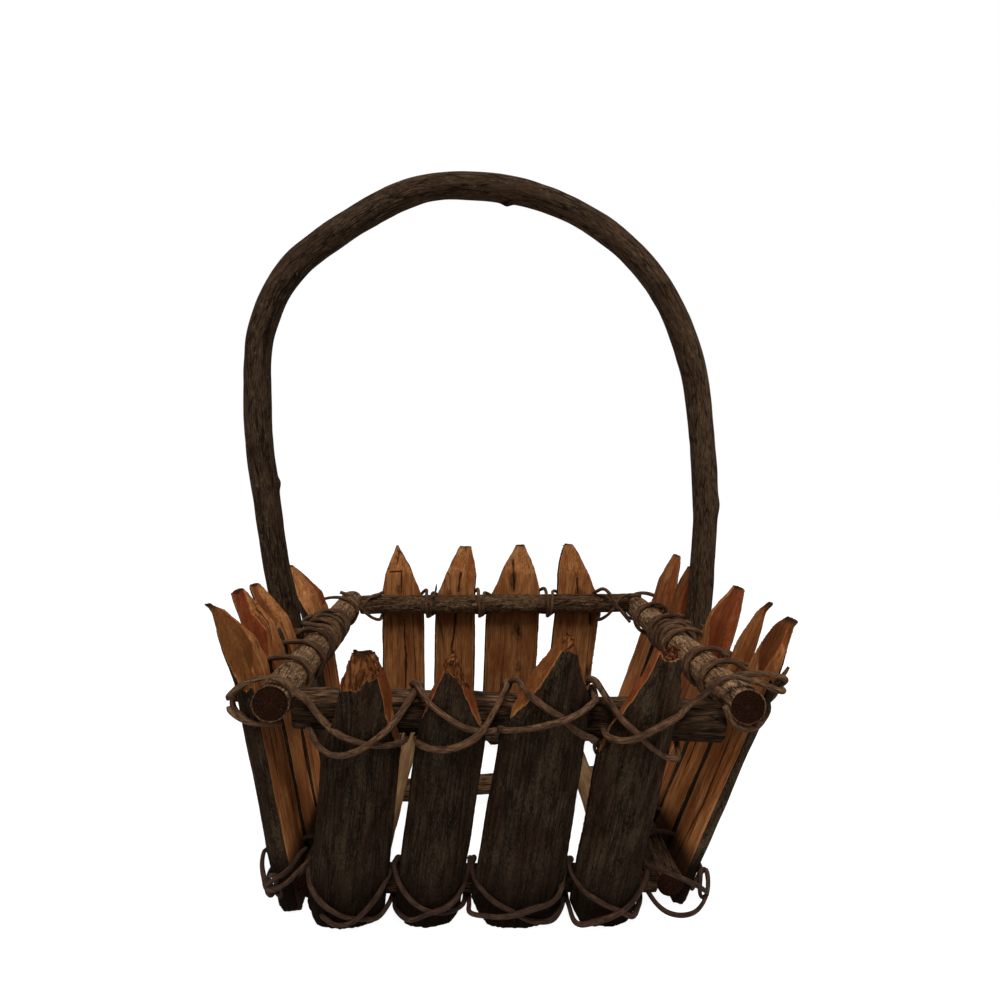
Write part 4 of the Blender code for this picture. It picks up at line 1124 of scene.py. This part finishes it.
def smooth_route(points, spacing):
    """Evenly spaced points on a smooth curve through the given ones (centripetal)."""
    points = [Vector(point) for point in points]
    ends = [points[0] * 2 - points[1], *points, points[-1] * 2 - points[-2]]
    path = []
    for p0, p1, p2, p3 in zip(ends, ends[1:], ends[2:], ends[3:]):
        t1 = max((p1 - p0).length, 1e-6) ** 0.5
        t2 = t1 + max((p2 - p1).length, 1e-6) ** 0.5
        t3 = t2 + max((p3 - p2).length, 1e-6) ** 0.5
        steps = max(2, math.ceil((p2 - p1).length / spacing * 2))
        for step in range(steps):
            t = t1 + (t2 - t1) * step / steps
            a1 = p0.lerp(p1, t / t1)
            a2 = p1.lerp(p2, (t - t1) / (t2 - t1))
            a3 = p2.lerp(p3, (t - t2) / (t3 - t2))
            path.append(a1.lerp(a2, t / t2).lerp(a2.lerp(a3, (t - t1) / (t3 - t1)), (t - t1) / (t2 - t1)))
    path.append(points[-1])
    return resample(path, spacing)


def eased(path, rounds):
    """The same path with its sharp turns rounded off."""
    for _ in range(rounds):
        path[1:-1] = path[1:-1] * 0.5 + (path[:-2] + path[2:]) * 0.25
    return path


def resample(path, spacing):
    path = np.array([tuple(point) for point in path])
    runs = np.concatenate([[0], np.cumsum(np.linalg.norm(np.diff(path, axis=0), axis=1))])
    count = max(2, round(runs[-1] / spacing))
    wanted = np.linspace(0, runs[-1], count + 1)
    return np.stack([np.interp(wanted, runs, path[:, axis]) for axis in range(3)], axis=1)


def path_length(path):
    return float(np.linalg.norm(np.diff(path, axis=0), axis=1).sum())


def bend_along(piece, path, radii=None):
    """Bend a straight piece, modelled along Y, along a path of its own length."""
    curve = bpy.data.curves.new("bend", "CURVE")
    curve.dimensions = "3D"
    curve.twist_mode = "MINIMUM"
    curve.use_radius = True
    spline = curve.splines.new("POLY")
    spline.points.add(len(path) - 1)
    for index, (spot, point) in enumerate(zip(spline.points, path)):
        spot.co = (*point, 1)
        spot.radius = 1.0 if radii is None else radii[index]
    guide = bpy.data.objects.new("bend", curve)
    bpy.context.scene.collection.objects.link(guide)
    modify(piece, "CURVE", object=guide, deform_axis="POS_Y")
    bpy.data.objects.remove(guide)


def near(points, place, reach):
    """1 at a place, fading to 0 beyond its reach. The place and the reach are in millimetres."""
    distance = np.linalg.norm(points - np.array(place) / 1000, axis=1) / (reach / 1000)
    return np.exp(-distance ** 2)


def shape_handle():
    path = smooth_route(in_metres(HANDLE_ROUTE_MM), HANDLE_STEP)
    length = path_length(path)
    piece = round_stick("bent_handle", length, HANDLE_RADIUS, HANDLE_SIDES, HANDLE_RING)
    mark_ends(piece, length, HANDLE_RADIUS, 11)
    roughen(piece, Matrix.Identity(4), (WAVES, 0.0022, 3.0), (FURROWS, 0.0006, 8.0), (FIBRES, 0.0003, 10.0))
    bend_along(piece, path)
    points, normals = points_of(piece), normals_of(piece)
    for place, reach, height in HANDLE_KNOTS_MM:
        points += normals * (height / 1000 * near(points, place, reach))[:, None]
    set_points(piece, points)
    # Painted light: the handle is darker on its left and lighter on its right, as if lit from the right
    lightness = 0.48 + 0.12 * np.tanh(points[:, 0] / 0.08)
    for place, reach in HANDLE_SPOTS_MM:
        lightness -= 0.45 * near(points, place, reach)
    store(piece, "lightness", "FLOAT", np.clip(lightness, 0, 1))
    finish_piece(piece, "rail_bark", HANDLE_BARK, "handle")
    print(f"handle: {length:.3f} m long, {len(piece.data.polygons)} faces")


shape_handle()

# %% [markdown]
# ## The vines
# Two strands lash each row to its rail. One crosses every branch downward and the other upward, and between
# two branches both pass round the rail. The front row's strands show best, so their routes are tables,
# measured against the frame. The other rows' routes are worked out: rays find the outside of each branch,
# and the rail gives the turns. A strand is a straight tube with its own bark, bent along its route.

# %% Measured strands
FRONT_STRANDS_MM = {
    "rim_front_vine_a": (
        (-109.2, -108, 120.2), (-101.7, -108, 117.9), (-97.5, -108, 113.3), (-92.2, -109.5, 110.3),
        (-87.5, -110.1, 104.3), (-82.7, -111, 99.2), (-74.1, -120.5, 97.7), (-66.5, -122, 95.3),
        (-58.5, -120.8, 93.3), (-52.2, -117.7, 92.3), (-47.6, -111.8, 91.3), (-46.2, -94.3, 89.7),
        (-45.5, -87.4, 95.9), (-44.7, -87, 105.2), (-44, -92.3, 111.5), (-44.6, -100, 115),
        (-42.5, -102.5, 116.3), (-39, -108, 113.3), (-33.7, -119.4, 111.2), (-26.1, -122.5, 106.7),
        (-19.4, -121.8, 102.3), (-13.6, -119.1, 99.5), (-7.9, -113, 97), (-3.6, -108.8, 95.8),
        (-4, -94.3, 88.6), (-2, -87.4, 94.8), (0, -87, 104), (2, -92.3, 110.3), (3.3, -99.5, 116.7),
        (5.7, -102.5, 118.3), (8.7, -110, 116.2), (12.7, -122.4, 115.4), (19.3, -124.6, 111.2),
        (24.5, -123.8, 108), (31.1, -120.3, 101.1), (37.1, -114.9, 95.7), (41.3, -114.9, 94.4),
        (42.3, -94.3, 87.3), (41.2, -87.4, 93.6), (40.1, -87, 102.9), (39, -92.3, 109.3),
        (40.7, -99.5, 117.7), (43.1, -102.5, 118.3), (46, -106.5, 114.5), (50.9, -109.8, 107.6),
        (54.2, -119, 104.2), (59.4, -122.8, 100.5), (66.9, -121.4, 93), (76.1, -114.1, 85.5),
        (80.6, -114.1, 84.4), (84.3, -104.5, 84), (86, -97, 85.2), (86.8, -89, 90.5), (87, -86.2, 97),
    ),
    "rim_front_vine_b": (
        (-93, -86, 103), (-93.2, -87.5, 96), (-92.6, -93, 90.3), (-92.5, -104, 95), (-89.5, -110, 93.7),
        (-86.2, -114.5, 91.1), (-81.2, -117.8, 88.7), (-73.7, -122.4, 89.2), (-67.7, -124, 91.6),
        (-61.7, -124.2, 94.8), (-55.3, -123.2, 99.7), (-51, -115.8, 102.1), (-46.3, -111.2, 108.1),
        (-43, -104.9, 112.2), (-41.6, -100.5, 113.9), (-40.8, -92.2, 111.7), (-41, -86.7, 105.2),
        (-41.1, -87.2, 95.7), (-41.3, -94.1, 89.3), (-41.9, -104.5, 90.2), (-36.3, -120.4, 92.5),
        (-27.9, -123.5, 92.7), (-19.4, -123.2, 94.8), (-13.1, -120.9, 97.8), (-8.5, -112.9, 100.5),
        (-5, -111.7, 106.2), (-2.3, -107.8, 110.1), (0.2, -107.8, 115.4), (1, -100, 114.4),
        (1.2, -90.7, 113.1), (-0, -83.9, 105.1), (-1.3, -84.4, 93.4), (-2.5, -93.1, 85.4),
        (-2.5, -106.5, 95.8), (0, -117.7, 99.4), (7.1, -123.7, 102.2), (15.2, -126.1, 104.6),
        (23.4, -126.3, 106.8), (30.3, -124.2, 108.6), (36.7, -120.2, 111), (41, -114.9, 112.5),
        (43.3, -103.5, 110.5), (43.2, -98.5, 113.6), (43.4, -92.2, 109.4), (44.3, -86.7, 102.9),
        (45.3, -87.2, 93.4), (46.2, -94.1, 87), (46.9, -105.5, 95.7), (47.3, -116.4, 96.1),
        (51.8, -123.2, 97.2), (57.3, -125, 98.4), (63.8, -125.4, 101.6), (71.8, -123.5, 105.2),
        (81.2, -115, 105.8), (87.7, -108.1, 108.2), (93.2, -108.3, 112.4), (97.5, -108.3, 115.8),
        (99.8, -108.3, 119.4), (104.6, -108.3, 121.6), (110.5, -108.3, 122.2), (115, -108.3, 121),
        (122.6, -108.3, 119.1), (130.2, -108.3, 116), (133.7, -108.3, 115.2), (133.6, -104.5, 115.6),
        (134.6, -99, 113.2), (134, -93, 110.8),
    ),
    "base_front_vine_a": (
        (-94.4, -96, 24.8), (-92, -103.5, 24.9), (-91, -105.6, 19.5), (-87.4, -108.9, 15.7),
        (-82.3, -111.6, 12.2), (-77, -112.8, 9.4), (-71.4, -112.7, 6.9), (-64.9, -110.9, 5.4),
        (-58.6, -106.4, 2.7), (-54.2, -101.5, 6), (-52.8, -89.2, 5.5), (-51.7, -84.4, 9.9),
        (-50.7, -84.1, 16.4), (-49.6, -87.8, 20.9), (-50.1, -93.5, 24.8), (-52.2, -97, 25),
        (-50.7, -104, 23.5), (-45.9, -108.7, 17.1), (-41.1, -111.5, 13.5), (-36.4, -112.4, 10.9),
        (-31.9, -112.2, 9.2), (-25.7, -109.9, 7.6), (-18, -101, 5.6), (-16.5, -89.2, 5.5),
        (-15.5, -84.4, 9.9), (-14.6, -84.1, 16.4), (-13.6, -87.8, 20.9), (-12.5, -93.5, 24.7),
        (-14, -98.5, 24), (-13.1, -101.5, 20.2), (-10.3, -107.4, 18.8), (-6.1, -110.4, 15.7),
        (-0.6, -112.7, 12.8), (4.3, -113.6, 10.9), (10.7, -113.3, 7), (17.2, -111.4, 3.7),
        (24.2, -111.4, 4.1), (31, -101, 5.4), (32.6, -89.2, 5.5), (33.6, -84.4, 9.9), (34.6, -84.1, 16.4),
        (35.6, -87.8, 20.9), (36.4, -94, 24.1), (33.7, -100, 24.2), (35.6, -104.6, 21.2),
        (39.5, -109.8, 17.9), (45.4, -112.7, 15.4), (51, -113.4, 12.2), (57.1, -111.9, 9.3),
        (62.9, -111.9, 6), (68, -103, 5.2), (71, -96, 4.6), (72.5, -88, 6.8), (73, -84, 11),
    ),
    "base_front_vine_b": (
        (-90.5, -95, 4.6), (-86.5, -103.5, 4.2), (-81.3, -113.3, 6.8), (-78.4, -114.1, 5),
        (-73.8, -114.5, 4.7), (-68.9, -114.2, 6.1), (-65.1, -113.4, 9.1), (-60.3, -111.6, 13.8),
        (-56.2, -109.2, 19.2), (-53.7, -101, 21.3), (-51.6, -98, 24.3), (-51, -94.5, 25.2),
        (-50.2, -87.7, 21.2), (-50.6, -83.8, 16.5), (-51.1, -84.1, 9.8), (-51.5, -89.1, 5.2),
        (-50.5, -102.5, 5), (-42.9, -112.2, 5.4), (-36.9, -114, 8.6), (-31.8, -114.2, 10.8),
        (-25.6, -112.4, 11.7), (-21.2, -109.5, 13.9), (-17.8, -102.5, 15.9), (-15.9, -99.5, 21),
        (-14.2, -96, 24.2), (-14.8, -87.7, 21.2), (-14.7, -83.8, 16.5), (-14.7, -84.1, 9.8),
        (-14.6, -89.1, 5.2), (-14.8, -101.5, 6.2), (-14.3, -111.8, 8.3), (-6.6, -111.8, 7),
        (1.5, -114.9, 8.6), (9.7, -115.6, 11), (16.7, -114.5, 12.7), (24, -111, 12.6), (28.6, -107.5, 15),
        (31.2, -100.5, 20.9), (34, -96, 24), (34.6, -87.7, 21.2), (34.4, -83.8, 16.5), (34.2, -84.1, 9.8),
        (34, -89.1, 5.2), (34.2, -102, 5), (36.5, -113.9, 4), (44.8, -113.9, 5.2), (53.7, -114.5, 8.6),
        (61.4, -111.3, 10.9), (67.4, -106.7, 14.6), (71.5, -102.1, 17.9), (73.3, -99.8, 21),
        (73.2, -97.5, 20.2), (73.6, -91.5, 22.2), (74, -85.5, 18.5),
    ),
}
# How strands of the other rows start and end at the corners
STARTS_MM = {
    "rim_left_vine_a": (
        (-97.5, -108, 113.3), (-101.7, -108, 117.9), (-109.2, -108, 120.2), (-118.3, -108, 117.8),
        (-125.8, -108, 113.4), (-129.4, -107, 108.7),
    ),
    "rim_left_vine_b": (
        (-103.5, -107, 97.8), (-112.2, -108, 97.7), (-119.8, -108, 99), (-125.8, -108, 102.5),
        (-129.2, -107, 106),
    ),
    "rim_right_vine_a": (
        (103.2, -105.5, 117.5), (105.2, -106.9, 120.6), (108.1, -107, 122), (115.5, -107.5, 123.4),
        (120.5, -107.5, 123.8), (128, -107.2, 123), (134, -106.5, 121.5), (136.4, -104, 119),
    ),
    "rim_back_vine_a": (
        (-100.9, 96.5, 107), (-95.9, 95.5, 110), (-91.7, 96, 116), (-85.9, 97.5, 117.5),
    ),
    "base_left_vine_a": (
        (-95.8, -92, 29), (-97.8, -97, 29.2), (-98.9, -102, 28.2), (-100.5, -106.5, 26.8),
        (-104.6, -108, 24.6), (-109, -107, 21), (-111.5, -104, 15.6), (-110.5, -98, 8.5),
    ),
    "base_left_vine_b": (
        (-91.8, -99, 27.6), (-95.4, -105, 26.2), (-99.8, -108.5, 22.7), (-105.2, -109, 19.2),
        (-110.4, -107, 17.2), (-113.5, -101, 18.8), (-116.4, -95, 23.2), (-116.5, -88, 27.1),
    ),
    "base_right_vine_a": (
        (73.6, -97, 22.2), (78, -102, 23.6), (84.5, -107, 23.6), (91.1, -108, 21.2), (98.4, -107.5, 17),
        (102.8, -102, 10.8), (101.6, -96, 5),
    ),
    "base_right_vine_b": (
        (74.3, -98, 9.5), (76.8, -103, 7), (81, -107.5, 5.4), (88, -108.5, 4.2), (95.4, -108, 5.9),
        (100.6, -105, 9.9), (104.2, -99, 14), (104.6, -93, 19),
    ),
    "rim_back_vine_b": (
        (-114, 92.8, 119.9), (-105.4, 92.8, 116.6), (-98.2, 92.8, 107.9), (-91, 92.8, 101.4),
        (-85.2, 94, 99),
    ),
}
ENDS_MM = {
    "rim_back_vine_a": (
        (83, 94, 101), (89.1, 91.5, 105.4), (94.8, 91.5, 112.4), (99, 91.5, 119.1), (106.3, 91.5, 121.5),
        (114.4, 92, 120.5),
    ),
    "rim_back_vine_b": (
        (81.5, 98, 122.5), (85.9, 93.5, 125.6), (90.5, 91.5, 121.5), (93.7, 90.5, 114.9),
        (99.8, 91, 108.3), (106.5, 91.5, 100.2),
    ),
}
# Short loose pieces: their routes, radius and tapers
LOOSE_STRANDS_MM = {
    "corner_loop": ((
        (-113.1, -107.4, 119.3), (-122.2, -107.4, 116.6), (-126.2, -106.9, 111.7),
        (-127.0, -106.9, 106.2), (-124.1, -107.2, 101.6), (-116.1, -107.4, 98.3),
    ), 1.2, (1.0, 0.8)),
    "corner_tail": ((
        (130.5, -105.0, 117.5), (132.6, -104.4, 119.6), (134.9, -104.0, 122.0), (136.3, -104.0, 124.2),
        (137.2, -104.0, 126.0),
    ), 1.15, (1.0, 0.7)),
    "back_tail": ((
        (-46.0, 94.5, 115.5), (-43.6, 94.8, 118.2), (-42.4, 95.2, 121.6), (-42.0, 95.6, 126.6),
    ), 0.9, (1.0, 0.3)),
}

# %% Vine routes
VINE_RADIUS_MM = {"rim": {"front": 1.50, "left": 1.20, "right": 1.35, "back": 1.30},
                  "base": {"front": 1.22, "left": 1.10, "right": 1.20, "back": 1.10}}
VINE_RING = 0.0010
VINE_SIDES = 12
TREES = {}
for name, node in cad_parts.items():
    TREES[name] = BVHTree.FromPolygons([v.co.copy() for v in node.data.vertices],
                                       [tuple(p.vertices) for p in node.data.polygons])
# A leg of the handle stands before this branch of a side row, counted from 0
LEG_BEFORE = {"left": 3, "right": 3}
# Directions round the rail, from straight outward through upward, of one pass behind it
PASS_DEGREES = (290, 235, 180, 125, 70)
COIL_DEGREES = (20, 335)
# Room along the rail that one turn of a strand needs, by level and hand, and room beyond a row's ends
TURN_ROOM = {("rim", 1): 0.0044, ("rim", -1): 0.0066, ("base", 1): 0.0105, ("base", -1): 0.0120}
END_ROOM = 0.006
# How far turns spread along the rail against the gap between two branches: on the rail's top and inner side
# in a side row, elsewhere, and the part of it that a single pass keeps
SIDE_SPREAD, SPREAD, SINGLE_PASS = 1.9, 0.76, 0.4
# Heights where a strand starts and stops crossing a branch, against the rail's size, and points of a crossing
CROSSING = {"rim": (0.9, -1.05), "base": (0.9, -0.62)}
CROSSING_SHARES = (0.03, 0.22, 0.5, 0.78, 0.97)
CROSSING_CURVE = 2.1
# How far a strand's middle lies off the bark, against its radius: on the bark, and over the other strand
ON_BARK, ON_STRAND = 1.05, 3.05


def row_items(row):
    items = sorted(name for name in PICKETS if name.startswith(row))
    if row in LEG_BEFORE:
        items.insert(LEG_BEFORE[row], "handle")
    return items


def item_span(item, row, height):
    """Where a piece of a row starts and ends along the row, at a height."""
    along, outward = ROWS[row]
    cut = section(item, height)
    cut = cut[cut @ np.array(outward) > 0]
    places = cut @ np.array(along)
    return float(places.min()), float(places.max())


def outside(item, row, place, height):
    """How far out a piece reaches, at a place along the row and a height."""
    along, outward = ROWS[row]
    start = along * place + outward * 0.3 + Vector((0, 0, height))
    hit = TREES[item].ray_cast(start, -outward)[0]
    return hit.dot(outward) if hit else None


def rail_at(node, row, place):
    """Distance outward and height of a rail's middle, at a place along the row."""
    along, outward = ROWS[row]
    start, end, radius = rail_line(node)
    share = (place - start.dot(along)) / (end.dot(along) - start.dot(along))
    point = start.lerp(end, share)
    return point.dot(outward), point.z, radius


def pass_degrees(hand, turns, index, last):
    """The directions round the rail that a strand goes through before the piece of an index."""
    degrees = list(PASS_DEGREES)
    for _ in range(turns - 1):
        degrees += [*COIL_DEGREES, *PASS_DEGREES]
    if hand == -1:
        degrees.reverse()
    if index == 0:
        degrees = degrees[2:]
    if index == last:
        degrees = degrees[:3]
    return degrees


def passes(row, rail_node, radius, hand, index, spans, chance):
    """A strand's points round the rail before a piece: one pass, or more where there is room."""
    along, outward = ROWS[row]
    before = spans[index - 1][1] if index > 0 else spans[0][0] - END_ROOM
    after = spans[index][0] if index < len(spans) else spans[-1][1] + END_ROOM
    room = after - before
    turns = max(1, round(room / TURN_ROOM[rail_node.split("_")[0], hand])) if row in LEG_BEFORE else 1
    degrees = pass_degrees(hand, turns, index, len(spans))
    points = []
    for step, angle in enumerate(degrees):
        share = (step + 0.5) / len(degrees) - 0.5
        inner = 60 < angle < 300
        spread = SIDE_SPREAD if inner and row in LEG_BEFORE else SPREAD
        place = (before + after) / 2 + room * share * spread * (1 if turns > 1 else SINGLE_PASS)
        place += hand * radius * 1.2 * inner
        centre, height, size = rail_at(rail_node, row, place)
        reach = size + radius * (1.15 + 0.6 * chance.random())
        if hand == -1 and not 100 < angle < 260:
            reach += radius * 1.8
        turned = math.radians(angle)
        points.append(along * place + outward * (centre + reach * math.cos(turned))
                      + Vector((0, 0, height + reach * math.sin(turned))))
    return points


def crossing(row, rail_node, radius, hand, item, span, level, chance):
    """A strand's points across the outside of one piece of a row."""
    along, outward = ROWS[row]
    top, bottom = CROSSING[level]
    points = []
    for share in CROSSING_SHARES:
        place = span[0] + (span[1] - span[0]) * share
        _, height, size = rail_at(rail_node, row, place)
        run = share if hand == 1 else 1 - share
        fall = 1 - (1 - run) ** CROSSING_CURVE
        z = height + (size + radius) * (top + (bottom - top) * fall) + chance.uniform(-0.0008, 0.0008)
        out = outside(item, row, place, z)
        if out is None:
            continue
        lift = radius * (ON_STRAND if hand == -1 and share == 0.5 else ON_BARK)
        points.append(along * place + outward * (out + lift) + Vector((0, 0, z)))
    return points


def vine_route(row, level, hand, radius, node, chance):
    """Hand 1 crosses each piece downward, hand -1 upward and over the other strand."""
    if node in FRONT_STRANDS_MM:
        return in_metres(FRONT_STRANDS_MM[node])
    rail_node = f"{level}_{row}_rail"
    items = row_items(row)
    rail_z = rail_line(rail_node)[0].z
    spans = [item_span(item, row, rail_z) for item in items]
    given = in_metres(STARTS_MM.get(node, ()))
    points = given or passes(row, rail_node, radius, hand, 0, spans, chance)
    for index, item in enumerate(items):
        points += crossing(row, rail_node, radius, hand, item, spans[index], level, chance)
        if index + 1 < len(items) or node not in ENDS_MM:
            points += passes(row, rail_node, radius, hand, index + 1, spans, chance)
    return points + in_metres(ENDS_MM.get(node, ()))


# %% Vines
def tapered(share, taper):
    """1 along a strand, falling to the taper's two values over its ends."""
    start, stop = (0.3 if taper[0] < 0.95 else 0.01), (0.7 if taper[1] < 0.95 else 0.99)
    return np.interp(share, (0, start, stop, 1), (taper[0], 1, 1, taper[1]))


def shape_vine(name, route, radius, number, material, nodes=(), taper=(1.0, 1.0)):
    path = resample(eased(smooth_route(route, VINE_RING), 6), VINE_RING)
    length = path_length(path)
    piece = round_stick(name, length, radius, VINE_SIDES, VINE_RING, cap_insets=1)
    store(piece, "grain", "FLOAT_VECTOR", points_of(piece) + np.array((0, number * 0.83, 0)))
    roughen(piece, Matrix.Translation((0, number * 0.5, 0)), (FURROWS, radius * 0.3, 3.0))
    share = np.linspace(0, 1, len(path))
    thick = 1 + 0.10 * np.sin(share * length * 70 + number) + 0.07 * np.sin(share * length * 190 + 2 * number)
    bend_along(piece, path, thick * tapered(share, taper))
    finish_piece(piece, "vine", material, *nodes)
    return length


chance = random.Random(7)
number = 0
for level, material in (("rim", VINE_BARK), ("base", DARK_VINE)):
    for row in ROWS:
        radius = VINE_RADIUS_MM[level][row] / 1000
        for hand, letter in ((1, "a"), (-1, "b")):
            node = f"{level}_{row}_vine_{letter}"
            route = vine_route(row, level, hand, radius, node, chance)
            length = shape_vine(f"{level}_{row}_lashing_{letter}", route, radius, number, material, [node])
            number += 1
            print(f"{node}: {length:.3f} m")
for name, (route, radius, taper) in LOOSE_STRANDS_MM.items():
    shape_vine(name, in_metres(route), radius / 1000, number, VINE_BARK, taper=taper)
    number += 1
print(number, "strands")
